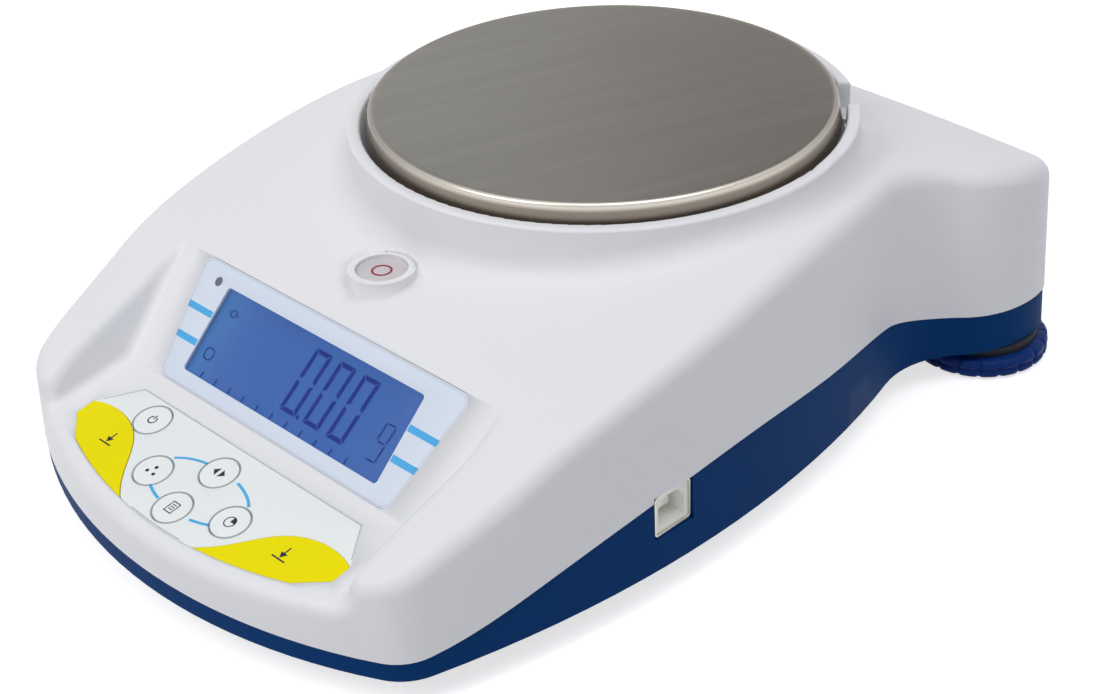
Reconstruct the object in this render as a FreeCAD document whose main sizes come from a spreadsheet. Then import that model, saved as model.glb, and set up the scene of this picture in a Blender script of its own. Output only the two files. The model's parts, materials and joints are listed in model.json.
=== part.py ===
import FreeCAD, Part
import math
import os
import re
import Sketcher

# Compact precision balance: a round steel pan on a single-point load cell, inside a two-part
# moulded housing with a display, a membrane keypad, a bubble level and two levelling feet.
# Frame: millimetres, X to the right seen from the front, Y to the rear, Z up,
# origin on the table under the middle of the housing.

# Weighing pan
pan_radius = 60.0  # pan top, radius
pan_top = 78.0  # pan surface above the table
pan_y = 31.0  # pan axis behind the middle of the housing
pan_sheet = 0.8  # pan sheet thickness
pan_skirt = 6.5  # depth of the turned-down skirt
pan_flare = 1.2  # how far the skirt flares out
pan_bend = 1.6  # outer bend radius of the pan's edge
pan_fit = 0.6  # gap between the pan's skirt and its support

# Wall round the pan
ring_gap = 2.3  # gap between the pan's edge and the ring wall
ring_wall = 3.5  # ring wall thickness at its rim
ring_top = 74.2  # height of the ring's rim
ring_blend = 7.0  # concave radius from the ring wall into the top
ring_round = 0.8  # rounding of the ring's rim
ring_low = 50.0  # level the ring wall is drawn down to before it is trimmed
notch_angle = 49.2  # direction of each notch from the X axis
notch_width = 13.0  # width of each notch
notch_floor = 66.8  # height of the notch's floor
well_floor = 64.8  # height of the deck under the pan

# Housing
wall = 2.4  # housing wall
draft = 2.5  # draft of the side walls, degrees
edge_round = 5.0  # rounding of the top edge
base_bottom = 8.3  # underside of the housing above the table
base_floor = 2.6  # thickness of the base's floor
base_step = 0.35  # how far the base's wall stands inside the cover's
prism_height = 80.0  # height the side walls are drawn to before they are trimmed

# Plan outline of the housing at its underside
front_y = -122.3  # middle of the front edge
front_radius = 145.0  # front edge radius
front_corner = 14.0  # front corner radius
side_half = 84.2  # half width at the side's fullest point
side_radius = 283.0  # side radius
side_y = -18.0  # place of the side's fullest point
waist_radius = 25.0  # hollow between the side and the rear leg
leg_x = 57.0  # centre of the rear leg's outline, across
leg_y = 102.5  # centre of the rear leg's outline, along
leg_radius = 30.0  # rear leg radius
rear_corner = 11.0  # rear corner radius
rear_y = 122.3  # middle of the rear edge
rear_radius = 600.0  # rear edge radius

# Top surface: its middle line's height, and the place of that station along the housing
top_crown = 0.5  # how much higher the middle is than the edges
crown_half = 80.0  # half width over which the crown is measured
prism_half = 100.0  # half width the hood is drawn to before it is trimmed
top_front_end = 22.5  # height in front of the housing
at_front_end = -130.0  # station in front of the housing
top_lip = 28.6  # height over the front corners
at_lip = -112.0  # station over the front corners
top_shoulder = 36.4  # height beside the keypad
at_shoulder = -100.0  # station beside the keypad
top_cheek = 44.8  # height beside the display
at_cheek = -80.0  # station beside the display
top_brow = 53.2  # height over the display
at_brow = -60.0  # station over the display
top_slope = 59.2  # height in front of the ring
at_slope = -36.0  # station in front of the ring
top_ring_front = 64.6  # height at the ring's front half
at_ring_front = -5.0  # station at the ring's front half
top_ring_mid = 67.0  # height across the pan axis
at_ring_mid = 25.0  # station across the pan axis
top_ring_rear = 66.1  # height at the ring's rear half
at_ring_rear = 57.0  # station at the ring's rear half
top_waist = 61.6  # height over the waist
at_waist = 88.0  # station over the waist
top_leg = 55.6  # height over the rear legs
at_leg = 114.0  # station over the rear legs
top_rear_end = 50.0  # height behind the housing
at_rear_end = 134.0  # station behind the housing

# Parting line between cover and base, seen from the side
part_front = 13.4  # parting height at the front
climb_start = -101.0  # where the parting line starts to climb
part_rise = 21.6  # parting height where it climbs
climb_middle = -66.0  # where it has that height
part_flank = 27.3  # parting height on the flank
climb_end = -38.0  # where it has that height
part_peak = 30.2  # highest parting height
peak_y = -2.0  # where the parting line is highest
part_shoulder = 28.4  # parting height behind its highest point
shoulder_y = 30.0  # where it has that height
part_fall = 25.2  # parting height where it falls
fall_middle = 58.0  # where it has that height
part_foot = 20.6  # parting height where it levels out
fall_end = 76.0  # where it has that height
part_leg = 19.4  # parting height at the rear legs
leg_start = 96.0  # where it has that height

# Front bay with the keypad and the display
bay_half = 50.0  # half width of the bay's floor behind the display
bay_mouth = 56.5  # half width of the bay's floor in front of the lip
bay_reach = 20.0  # how far in front of the lip the bay is drawn
bay_draft = 12.0  # slope of the bay's side walls, degrees
bay_level = 21.5  # level at which the bay's plan is drawn
bay_foot = 3.0  # concave radius at the foot of the bay's side walls
bay_round = 4.0  # rounding of the bay's upper edges
bay_slack = 1.0  # how near to a slope an edge must be to count as lying on it
keypad_rear_y = -89.6  # rear edge of the keypad film, along
keypad_rear_z = 28.5  # rear edge of the keypad film, height
keypad_tilt = 10.3  # slope of the keypad, degrees
display_front_y = -84.8  # front edge of the display slope
display_tilt = 43.7  # slope of the display, degrees
film_sunk = 0.15  # how far films lie below the surface round them

# Display
bezel_low_half = 43.1  # half width of the display film at its foot
bezel_high_half = 49.2  # half width of the display film at its head
bezel_low = 0.9  # foot of the display film up the slope
bezel_high = 32.6  # head of the display film up the slope
bezel_sheet = 0.6  # display film thickness
bezel_corner = 3.0  # corner radius of the display film
film_fit = 0.12  # gap round a film in its recess
window_half = 36.6  # half width of the visible window
window_low = 4.9  # foot of the visible window up the slope
window_high = 27.8  # head of the visible window up the slope
window_sheet = 1.4  # thickness of the clear window
window_corner = 1.0  # corner radius of the opening in the film
window_margin = 1.0  # how far the clear window reaches under the film
lcd_margin = 2.6  # how far the display glass reaches past the visible window
lcd_sheet = 2.8  # display glass thickness
lcd_gap = 0.15  # gap between the housing and the display glass
light_sheet = 3.0  # backlight thickness
board_sheet = 1.6  # circuit board thickness
display_board_half = 46.5  # half width of the display board
display_board_low = 0.5  # foot of the display board up the slope
display_board_high = 32.0  # head of the display board up the slope
display_screw_high = 21.0  # upper display board screws up the slope
lamp_radius = 1.2  # status lamp lens radius
lamp_x = -40.8  # status lamp across
lamp_up = 27.8  # status lamp up the slope

# Keypad
film_half_rear = 41.5  # half width of the keypad film at its rear edge
film_half = 49.3  # largest half width of the keypad film
film_side_start = 10.3  # where the keypad film's side edge starts
film_side_end = 15.6  # where the keypad film's side edge ends
film_front = 28.5  # front of the keypad film on its middle line
film_front_side = 21.6  # front arc of the keypad film at its side points
film_front_half = 41.5  # half width at those side points
film_sheet = 0.5  # keypad film thickness
key_radius = 4.75  # round key radius
key_gap = 0.15  # gap round a key in the film
key_cap = 0.9  # key cap thickness
key_round = 0.2  # rounding of a key cap
key_proud = 0.1  # how far a key stands over the film
key_pocket = 1.0  # depth of the pocket under a key
stem_radius = 1.5  # key stem radius
stem_fit = 0.3  # gap round a key stem
board_drop = 8.0  # keypad board below the film's face
switch_body = 3.0  # height of a switch body
switch_side = 6.0  # side of a switch body
switch_button = 1.75  # switch plunger radius
switch_gap = 0.35  # gap between a key stem and its switch
power_key_x = -30.2  # power key across
power_key_down = 6.2  # power key down the slope
oval_x = 15.6  # half width of the oval that joins four keys
oval_y = 7.0  # half height of that oval
oval_down = 15.4  # centre of that oval down the slope
oval_left_angle = 196.0  # place of the select key on the oval, degrees
oval_rear_angle = 92.0  # place of the mode key on the oval, degrees
oval_front_angle = 268.0  # place of the print key on the oval, degrees
oval_right_angle = 344.0  # place of the percent key on the oval, degrees
tare_stem_x = 34.0  # tare key stem across
tare_stem_down = 15.2  # tare key stem down the slope
tare_side_x = 50.6  # tare zone's edge at the film's side, across
tare_side_down = 11.2  # the same point down the slope
tare_crest_x = 42.5  # rearmost point of the tare zone's edge, across
tare_crest_down = 9.0  # the same point down the slope
tare_bend_x = 29.8  # tare zone's edge where it turns to the front, across
tare_bend_down = 12.4  # the same point down the slope
tare_flank_x = 20.9  # tare zone's edge beside the print key, across
tare_flank_down = 21.8  # the same point down the slope
tare_tip_x = 10.0  # front end of the tare zone's edge, across
tare_tip_down = 29.6  # the same point down the slope
tare_outer = 60.0  # how far the tare zones are drawn before the film trims them
tare_proud = 0.1  # how far a tare key stands over the film
keypad_board_half = 45.0  # half width of the keypad board
keypad_board_rear = 2.0  # rear edge of the keypad board down the slope
keypad_board_front = 20.5  # front edge of the keypad board down the slope
keypad_tongue_half = 18.0  # half width of the board's tongue under the print key
keypad_tongue_front = 26.5  # front edge of that tongue down the slope
switch_plunger = 0.8  # how far a switch plunger stands out of its body

# Bubble level
level_y = -45.2  # bubble level centre
level_top = 59.6  # top of the level's boss
level_boss = 8.3  # boss radius
level_bore = 6.5  # opening radius
level_depth = 8.5  # depth of the level's bore
level_fit = 0.1  # gap round the level in its bore
level_lens = 1.2  # lens thickness
level_sunk = 0.8  # lens below the boss's top
level_ring = 2.6  # radius of the level's circle
level_line = 0.5  # width of the circle's line
level_bubble = 2.0  # bubble radius
bubble_height = 0.8  # bubble height under the lens
level_chamber = 5.0  # radius of the liquid in the level
level_liquid = 2.0  # depth of the liquid in the level
level_print = 0.1  # thickness of the circle printed on the lens

# Load cell and what it carries
cell_length = 80.0  # load cell length
cell_width = 16.0  # load cell width
cell_height = 18.0  # load cell height
cell_bottom = 16.5  # underside of the load cell
cell_hole = 6.8  # radius of the flexure holes
cell_hole_span = 26.0  # distance between the flexure holes
cell_slot = 2.4  # height of the slot that joins them
cell_bolt_inset = 5.5  # end of the cell to its first bolt
cell_bolt_pitch = 10.0  # distance between the bolts of one end
bolt_radius = 2.0  # M4 bolt radius
bolt_head = 3.5  # M4 bolt head radius
bolt_head_height = 2.6  # M4 bolt head height
bolt_fit = 0.2  # gap round a bolt
bracket_sheet = 4.0  # load bracket thickness
bracket_gap = 2.5  # height of the bracket's raised pad over the cell
bracket_width = 24.0  # load bracket width
hub_radius = 8.0  # pan support hub radius
hub_hole_fit = 2.5  # gap round the hub in the deck
support_sheet = 2.8  # pan support thickness
support_rim = 6.0  # width of the pan support's rim
spoke_half_angle = 12.0  # half angle of each opening between the spokes, degrees
cushion_radius = 2.6  # cushion radius
cushion_height = 2.0  # cushion height under the pan
cushion_count = 6.0  # number of cushions and spokes
stop_radius = 2.5  # overload stop screw radius
stop_gap = 0.6  # gap over the overload stop
nut_radius = 4.6  # overload stop nut, centre to corner
nut_height = 2.4  # overload stop nut height
bolt_sunk = 0.3  # hub bolt below the face of the pan support

# Feet
foot_x = 72.0  # levelling foot across
foot_y = 101.5  # levelling foot along
foot_radius = 18.5  # levelling disc radius
foot_low = 0.7  # underside of the levelling disc
foot_disc = 4.9  # levelling disc thickness
foot_recess = 0.9  # depth of the recess that holds the rubber pad
scallop_radius = 2.2  # radius of the disc's scallops
scallop_depth = 0.7  # how deep the scallops cut
scallop_count = 20.0  # number of scallops
collar_radius = 15.4  # dark collar radius
collar_gap = 0.3  # gap between the collar and the housing
stud_radius = 3.0  # M6 stud radius
stud_fit = 0.06  # running gap of the stud in its bore
stud_top = 27.0  # upper end of the stud
boss_wall = 3.2  # wall of a boss round its bore
foot_travel = 3.0  # how far a foot screws out
pad_radius = 12.5  # rubber pad radius
pad_fit = 0.1  # gap round and over the rubber pad in its recess
front_foot_round = 1.5  # rounding of the front foot's lower edge
front_foot_x = 50.0  # front foot across
front_foot_y = -90.0  # front foot along
front_foot_radius = 10.0  # front foot radius
front_foot_socket = 1.4  # depth of the front foot in the housing

# Sockets and boards
usb_y = -32.8  # USB socket along
usb_low = 17.2  # underside of the USB shell
usb_width = 12.0  # USB shell width
usb_height = 11.0  # USB shell height
usb_depth = 16.0  # USB shell depth
usb_sheet = 0.45  # USB shell thickness
usb_chamfer = 2.4  # cut corners of the USB opening
usb_fit = 0.25  # gap round the USB shell
usb_face = 82.5  # outer face of the USB shell
usb_opening_width = 8.6  # USB opening width
usb_opening_height = 7.9  # USB opening height
usb_cavity = 12.0  # USB opening depth
usb_core_sunk = 0.6  # USB body behind the shell's face
usb_corner = 1.2  # corner radius of the USB shell
tongue_width = 5.6  # USB tongue width
tongue_height = 3.4  # USB tongue height
tongue_length = 8.8  # USB tongue length
board_left = 14.0  # main board's left edge
board_right = 73.0  # main board's right edge
board_front = -60.0  # main board's front edge
board_rear = -6.0  # main board's rear edge
board_hole_inset = 5.0  # board screws from the edges
small_screw = 1.2  # M2.5 screw radius
small_screw_head = 2.4  # M2.5 screw head radius
small_head_height = 1.6  # M2.5 screw head height
small_screw_length = 5.5  # M2.5 screw length under its head
screw_fit = 0.05  # gap round a screw in its bore
post_radius = 3.0  # radius of a post
jack_x = -18.0  # power jack across
jack_z = 15.1  # power jack height
jack_radius = 3.9  # power jack barrel radius
jack_bore = 2.8  # power jack bore radius
jack_pin = 1.0  # power jack pin radius
jack_depth = 11.0  # power jack depth
jack_face = 121.0  # outer face of the power jack
jack_body = 9.0  # width of the power jack's body
jack_gap = 0.9  # gap between the jack's body and the rear wall
jack_floor = 1.5  # closed end of the power jack's bore

# Screws that hold the housing together
join_front_x = 61.0  # front housing screw across
join_front_y = -79.0  # front housing screw along
join_mid_x = 70.5  # middle housing screw across
join_mid_y = 12.0  # middle housing screw along
join_rear_x = 36.0  # rear housing screw across
join_rear_y = 112.0  # rear housing screw along
join_radius = 1.5  # housing screw radius
join_head = 3.0  # housing screw head radius
join_head_height = 2.0  # housing screw head height
join_length = 14.0  # housing screw length
join_boss_top = 16.0  # top of the base's bosses

# Sheet with every size above
doc = FreeCAD.newDocument("Balance")
sheet = doc.addObject("Spreadsheet::Sheet", "sizes")
aliases = [name for name, value in globals().items() if isinstance(value, float)]
for row, alias in enumerate(aliases, 1):
    sheet.set("A%d" % row, alias)
    sheet.set("B%d" % row, str(globals()[alias]))
    sheet.setAlias("B%d" % row, alias)
doc.recompute()


def rule(text):
    """Write the sheet's name before each alias in an expression."""
    return re.sub(r"[a-z]\w*", lambda m: "sizes." + m.group() if m.group() in aliases else m.group(), text)


def number(text):
    """Value of an expression on the sheet."""
    return float(sheet.evalExpression(rule(text)))


def bind(obj, **rules):
    """Tie properties to the sheet; two underscores stand for a dot."""
    for prop, text in rules.items():
        obj.setExpression(prop.replace("__", "."), rule(text))
    return obj


def place(obj, x="0", y="0", z="0"):
    return bind(obj, Placement__Base__x=x, Placement__Base__y=y, Placement__Base__z=z)


def cylinder(name, radius, height, x="0", y="0", z="0"):
    obj = doc.addObject("Part::Cylinder", name)
    bind(obj, Radius=radius, Height=height)
    return place(obj, x, y, z)


def lying_cylinder(name, radius, height, axis, x="0", y="0", z="0"):
    """Cylinder along X or Y, starting at x, y, z."""
    obj = cylinder(name, radius, height, x, y, z)
    turn_axis = FreeCAD.Vector(0, 1, 0) if axis == "X" else FreeCAD.Vector(-1, 0, 0)
    obj.Placement.Rotation = FreeCAD.Rotation(turn_axis, 90)
    return obj


def box(name, length, width, height, x="0", y="0", z="0"):
    obj = doc.addObject("Part::Box", name)
    bind(obj, Length=length, Width=width, Height=height)
    return place(obj, x, y, z)


def cut(name, base, tool):
    obj = doc.addObject("Part::Cut", name)
    obj.Base = base
    obj.Tool = tool
    return obj


def common(name, first, second):
    obj = doc.addObject("Part::Common", name)
    obj.Base = first
    obj.Tool = second
    return obj


def fuse(name, *pieces):
    obj = doc.addObject("Part::MultiFuse", name)
    obj.Shapes = list(pieces)
    return obj


def group(name, *pieces):
    obj = doc.addObject("Part::Compound", name)
    obj.Links = list(pieces)
    return obj


nodes = []


def node(obj, label):
    """Name a finished sub-part; its label names its file."""
    obj.Label = label
    nodes.append(obj)
    return obj


def on_display(obj):
    """Seat a piece drawn flat on the display slope: X across, Y up the slope, Z outwards."""
    obj.Placement.Rotation = FreeCAD.Rotation(FreeCAD.Vector(1, 0, 0), number("display_tilt"))
    bind(obj, Placement__Rotation__Angle="display_tilt")
    foot = "keypad_rear_z + (display_front_y - keypad_rear_y) * tan(keypad_tilt)"
    return place(obj, "0", "display_front_y", foot)


def on_keypad(obj):
    """Seat a piece drawn flat on the keypad slope: X across, Y up the slope, Z outwards."""
    obj.Placement.Rotation = FreeCAD.Rotation(FreeCAD.Vector(1, 0, 0), number("keypad_tilt"))
    bind(obj, Placement__Rotation__Angle="keypad_tilt")
    return place(obj, "0", "keypad_rear_y", "keypad_rear_z")


def extrude(name, sketch, height, taper=None):
    """Extrude a sketch along its normal; a positive taper widens it."""
    obj = doc.addObject("Part::Extrusion", name)
    obj.Base = sketch
    obj.DirMode = "Normal"
    obj.Solid = True
    bind(obj, LengthFwd=height)
    if taper:
        bind(obj, TaperAngle=taper)
    return obj


def fixed_point(sketch, geo, pos, x, y):
    """Hold a sketch point at expressions of the sheet."""
    start = sketch.ConstraintCount
    sketch.addConstraint(Sketcher.Constraint("DistanceX", geo, pos, number(x)))
    sketch.addConstraint(Sketcher.Constraint("DistanceY", geo, pos, number(y)))
    sketch.setExpression("Constraints[%d]" % start, rule(x))
    sketch.setExpression("Constraints[%d]" % (start + 1), rule(y))


def polygon(sketch, points):
    """Closed polygon whose corners are expressions of the sheet."""
    places = [FreeCAD.Vector(number(x), number(y), 0) for x, y in points]
    first = sketch.GeometryCount
    count = len(points)
    for i in range(count):
        sketch.addGeometry(Part.LineSegment(places[i], places[(i + 1) % count]), False)
    for i in range(count):
        joint = Sketcher.Constraint("Coincident", first + i, 2, first + (i + 1) % count, 1)
        sketch.addConstraint(joint)
    for i, (x, y) in enumerate(points):
        fixed_point(sketch, first + i, 1, x, y)


def circle(sketch, x, y, radius):
    spot = FreeCAD.Vector(number(x), number(y), 0)
    geo = sketch.addGeometry(Part.Circle(spot, FreeCAD.Vector(0, 0, 1), number(radius)), False)
    fixed_point(sketch, geo, 3, x, y)
    sketch.addConstraint(Sketcher.Constraint("Radius", geo, number(radius)))
    sketch.setExpression("Constraints[%d]" % (sketch.ConstraintCount - 1), rule(radius))


def bow_radius(sketch, geo, half, rise):
    """Bind an arc's radius to its half chord and its rise."""
    text = "((%s)^2 + (%s)^2) / (2 * (%s))" % (half, rise, rise)
    sketch.addConstraint(Sketcher.Constraint("Radius", geo, number(text)))
    sketch.setExpression("Constraints[%d]" % (sketch.ConstraintCount - 1), rule(text))


def free_sketch(name, z="0"):
    """Sketch parallel to the table."""
    sketch = doc.addObject("Sketcher::SketchObject", name)
    return place(sketch, "0", "0", z)


def side_sketch(name, x="0"):
    """Sketch seen from the side: its X runs along the housing's Y, its Y along Z."""
    sketch = doc.addObject("Sketcher::SketchObject", name)
    sketch.Placement.Rotation = FreeCAD.Rotation(FreeCAD.Vector(1, 1, 1), 120)
    return place(sketch, x, "0", "0")


def body_sketch(body, name, role, z="0"):
    """Sketch on one of a body's own origin planes."""
    sketch = body.newObject("Sketcher::SketchObject", name)
    base_plane = [f for f in body.Origin.OriginFeatures if f.Role == role][0]
    sketch.AttachmentSupport = [(base_plane, "")]
    sketch.MapMode = "FlatFace"
    bind(sketch, AttachmentOffset__Base__z=z)
    return sketch


def new_body(name):
    return doc.addObject("PartDesign::Body", name)


# Plan outline of the housing, as tangent arcs
def meeting(first, first_reach, second, second_reach, near):
    """Point at given distances from two centres, on the side of a nearby point."""
    span = second - first
    gap = span.Length
    along = (first_reach ** 2 - second_reach ** 2 + gap ** 2) / (2 * gap)
    across = math.sqrt(first_reach ** 2 - along ** 2)
    unit = span / gap
    side = FreeCAD.Vector(-unit.y, unit.x, 0)
    spots = [first + unit * along + side * across, first + unit * along - side * across]
    return min(spots, key=lambda spot: (spot - near).Length)


def plan_outline(name, inset, z):
    """Sketch of the housing's plan, moved in by an inset: twelve tangent arcs."""
    sketch = free_sketch(name, z)
    inward = number(inset)
    radii = {part: number(part) for part in
             ("front_radius", "front_corner", "side_radius", "waist_radius",
              "leg_radius", "rear_corner", "rear_radius")}
    front = FreeCAD.Vector(0, number("front_y + front_radius"), 0)
    rear = FreeCAD.Vector(0, number("rear_y - rear_radius"), 0)
    side = FreeCAD.Vector(number("side_half - side_radius"), number("side_y"), 0)
    leg = FreeCAD.Vector(number("leg_x"), number("leg_y"), 0)
    outer = number("side_half")
    corner_a = meeting(front, radii["front_radius"] - radii["front_corner"],
                       side, radii["side_radius"] - radii["front_corner"],
                       FreeCAD.Vector(outer, front.y - radii["front_radius"], 0))
    waist = meeting(side, radii["side_radius"] + radii["waist_radius"],
                    leg, radii["leg_radius"] + radii["waist_radius"],
                    FreeCAD.Vector(outer, leg.y - radii["leg_radius"], 0))
    corner_b = meeting(leg, radii["leg_radius"] - radii["rear_corner"],
                       rear, radii["rear_radius"] - radii["rear_corner"],
                       FreeCAD.Vector(outer, rear.y + radii["rear_radius"], 0))
    right = [("front_corner", corner_a, -1), ("side_radius", side, -1), ("waist_radius", waist, 1),
             ("leg_radius", leg, -1), ("rear_corner", corner_b, -1)]
    chain = [("front_radius", front, -1)] + right + [("rear_radius", rear, -1)]
    chain += [(part, FreeCAD.Vector(-spot.x, spot.y, 0), way) for part, spot, way in reversed(right)]

    def joint_point(one, other):
        """Where two neighbouring arcs touch, before the inset."""
        if radii[one[0]] < radii[other[0]]:
            one, other = other, one
        return one[1] + (other[1] - one[1]).normalize() * radii[one[0]]

    count = len(chain)
    for i, (part, spot, way) in enumerate(chain):
        before = joint_point(chain[i - 1], chain[i]) - spot
        after = joint_point(chain[i], chain[(i + 1) % count]) - spot
        ends = [math.atan2(before.y, before.x), math.atan2(after.y, after.x)]
        if way > 0:
            ends.reverse()
        ring = Part.Circle(spot, FreeCAD.Vector(0, 0, 1), radii[part] + way * inward)
        sketch.addGeometry(Part.ArcOfCircle(ring, ends[0], ends[1]), False)
    for i in range(count):
        nxt = (i + 1) % count
        leave = 2 if chain[i][2] < 0 else 1
        arrive = 1 if chain[nxt][2] < 0 else 2
        sketch.addConstraint(Sketcher.Constraint("Tangent", i, leave, nxt, arrive))
    for i, (part, spot, way) in enumerate(chain):
        sign = "+" if way > 0 else "-"
        size_rule = "%s %s (%s)" % (part, sign, inset)
        sketch.addConstraint(Sketcher.Constraint("Radius", i, number(size_rule)))
        sketch.setExpression("Constraints[%d]" % (sketch.ConstraintCount - 1), rule(size_rule))
    fixed_point(sketch, 0, 3, "0", "front_y + front_radius")
    fixed_point(sketch, 6, 3, "0", "rear_y - rear_radius")
    fixed_point(sketch, 2, 3, "side_half - side_radius", "side_y")
    fixed_point(sketch, 10, 3, "side_radius - side_half", "side_y")
    fixed_point(sketch, 4, 3, "leg_x", "leg_y")
    fixed_point(sketch, 8, 3, "-leg_x", "leg_y")
    return sketch


def side_walls(name, inset, z):
    """Drafted prism on the plan outline."""
    return extrude(name, plan_outline(name + "_plan", inset, z), "prism_height", "-draft")


stations = ["front_end", "lip", "shoulder", "cheek", "brow", "slope", "ring_front", "ring_mid",
            "ring_rear", "waist", "leg", "rear_end"]


def hood(name, lower):
    """Crowned block under the top surface, lofted through arched sections."""
    sections = []
    for station in stations:
        section = doc.addObject("Sketcher::SketchObject", "%s_at_%s" % (name, station))
        section.Placement.Rotation = FreeCAD.Rotation(FreeCAD.Vector(1, 0, 0), 90)
        place(section, "0", "at_" + station, "0")
        middle = "top_%s - (%s)" % (station, lower)
        drop = "top_crown * (prism_half / crown_half)^2"
        edge = "%s - %s" % (middle, drop)
        left = FreeCAD.Vector(-number("prism_half"), number(edge), 0)
        right = FreeCAD.Vector(number("prism_half"), number(edge), 0)
        crest = FreeCAD.Vector(0, number(middle), 0)
        foot_left = FreeCAD.Vector(left.x, -number("prism_half"), 0)
        foot_right = FreeCAD.Vector(right.x, -number("prism_half"), 0)
        section.addGeometry([Part.Arc(right, crest, left), Part.LineSegment(left, foot_left),
                             Part.LineSegment(foot_left, foot_right),
                             Part.LineSegment(foot_right, right)], False)
        for first, last in ((0, 1), (1, 2), (2, 3), (3, 0)):
            section.addConstraint(Sketcher.Constraint("Coincident", first, 2, last, 1))
        fixed_point(section, 0, 1, "prism_half", edge)
        fixed_point(section, 0, 2, "-prism_half", edge)
        fixed_point(section, 2, 1, "-prism_half", "-prism_half")
        fixed_point(section, 2, 2, "prism_half", "-prism_half")
        bow_radius(section, 0, "prism_half", drop)
        sections.append(section)
    loft = doc.addObject("Part::Loft", name)
    loft.Sections = sections
    loft.Solid = True
    loft.Ruled = False
    return loft


def parting_block():
    """Everything below the parting line, seen from the side."""
    profile = side_sketch("parting_profile", "-prism_half")
    line = [("at_front_end", "part_front"), ("front_y", "part_front"), ("climb_start", "part_front"),
            ("climb_middle", "part_rise"), ("climb_end", "part_flank"), ("peak_y", "part_peak"),
            ("shoulder_y", "part_shoulder"), ("fall_middle", "part_fall"), ("fall_end", "part_foot"),
            ("leg_start", "part_leg"), ("rear_y", "part_leg"), ("at_rear_end", "part_leg")]
    spots = [FreeCAD.Vector(number(y), number(height), 0) for y, height in line]
    curve = Part.BSplineCurve()
    curve.interpolate(spots)
    low_front = FreeCAD.Vector(spots[0].x, -number("prism_half"), 0)
    low_rear = FreeCAD.Vector(spots[-1].x, low_front.y, 0)
    profile.addGeometry([curve, Part.LineSegment(spots[-1], low_rear),
                         Part.LineSegment(low_rear, low_front),
                         Part.LineSegment(low_front, spots[0])], False)
    return extrude("parting", profile, "2 * prism_half")


# Cutter for the front bay: above the keypad and display slopes, between the bay's side walls
def bay_block(name, sink, grow):
    """Space over the bay's two slopes, lowered by sink and widened by grow."""
    slopes = side_sketch(name + "_slopes", "-prism_half")
    keypad_drop = "(%s) / cos(keypad_tilt)" % sink
    valley_z = "keypad_rear_z + (display_front_y - keypad_rear_y) * tan(keypad_tilt)"
    half_turn = "(display_tilt - keypad_tilt) / 2"
    mean_tilt = "(display_tilt + keypad_tilt) / 2"
    valley_shift = "(%s) / cos(%s)" % (sink, half_turn)
    low_y = "display_front_y + %s * sin(%s)" % (valley_shift, mean_tilt)
    low_z = "%s - %s * cos(%s)" % (valley_z, valley_shift, mean_tilt)
    mouth_y = "front_y - bay_reach"
    mouth_z = "keypad_rear_z + (%s - keypad_rear_y) * tan(keypad_tilt) - %s" % (mouth_y, keypad_drop)
    high_z = low_z + " + prism_half * sin(display_tilt)"
    polygon(slopes, [(mouth_y, mouth_z), (low_y, low_z),
                     (low_y + " + prism_half * cos(display_tilt)", high_z), (mouth_y, high_z)])
    over_slopes = extrude(name + "_over", slopes, "2 * prism_half")
    plan = free_sketch(name + "_plan", "bay_level - (%s)" % grow)
    right = [("bay_mouth + %s" % grow, mouth_y),
             ("bay_half + %s" % grow, "display_front_y + prism_half")]
    left = [("-(%s)" % x, y) for x, y in reversed(right)]
    polygon(plan, right + left)
    between = extrude(name + "_between", plan, "prism_height", "bay_draft")
    return common(name, over_slopes, between)


def edges_where(shape, wanted):
    """Numbers of the edges whose middle point and direction pass a test."""
    found = []
    for i, edge in enumerate(shape.Edges):
        middle = (edge.FirstParameter + edge.LastParameter) / 2
        spot = edge.valueAt(middle)
        way = edge.tangentAt(middle)
        if wanted(spot, way, edge):
            found.append(i + 1)
    return found


def rounded(name, base, radius, wanted):
    """Fillet the edges of a finished shape that pass a test."""
    doc.recompute()
    obj = doc.addObject("Part::Fillet", name)
    obj.Base = base
    reach = number(radius)
    obj.Edges = [(i, reach, reach) for i in edges_where(base.Shape, wanted)]
    return obj


# Top cover: outer form
below_parting = parting_block()
outside = common("outside", side_walls("cover_walls", "0", "base_bottom"), hood("hood", "0"))


def on_top_edge(spot, way, edge):
    return spot.z > number("base_bottom + edge_round") and abs(way.z) < 0.8


crowned = rounded("crowned", outside, "edge_round", on_top_edge)
ring_tube = cylinder("ring_tube", "pan_radius + ring_gap + ring_wall", "ring_top - ring_low",
                     "0", "pan_y", "ring_low")
well = cylinder("well", "pan_radius + ring_gap", "prism_height", "0", "pan_y", "well_floor")
boss_blank = cylinder("boss_blank", "level_boss", "level_top - ring_low + ring_blend",
                      "0", "level_y", "ring_low - ring_blend")
raised = fuse("raised", crowned, ring_tube, boss_blank)
doc.recompute()


def at_ring_root(spot, way, edge):
    reach = math.hypot(spot.x, spot.y - number("pan_y"))
    on_wall = abs(reach - number("pan_radius + ring_gap + ring_wall")) < 0.05
    return on_wall and spot.z < number("ring_top - ring_round")


ring_rooted = rounded("ring_rooted", raised, "ring_blend", at_ring_root)


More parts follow.
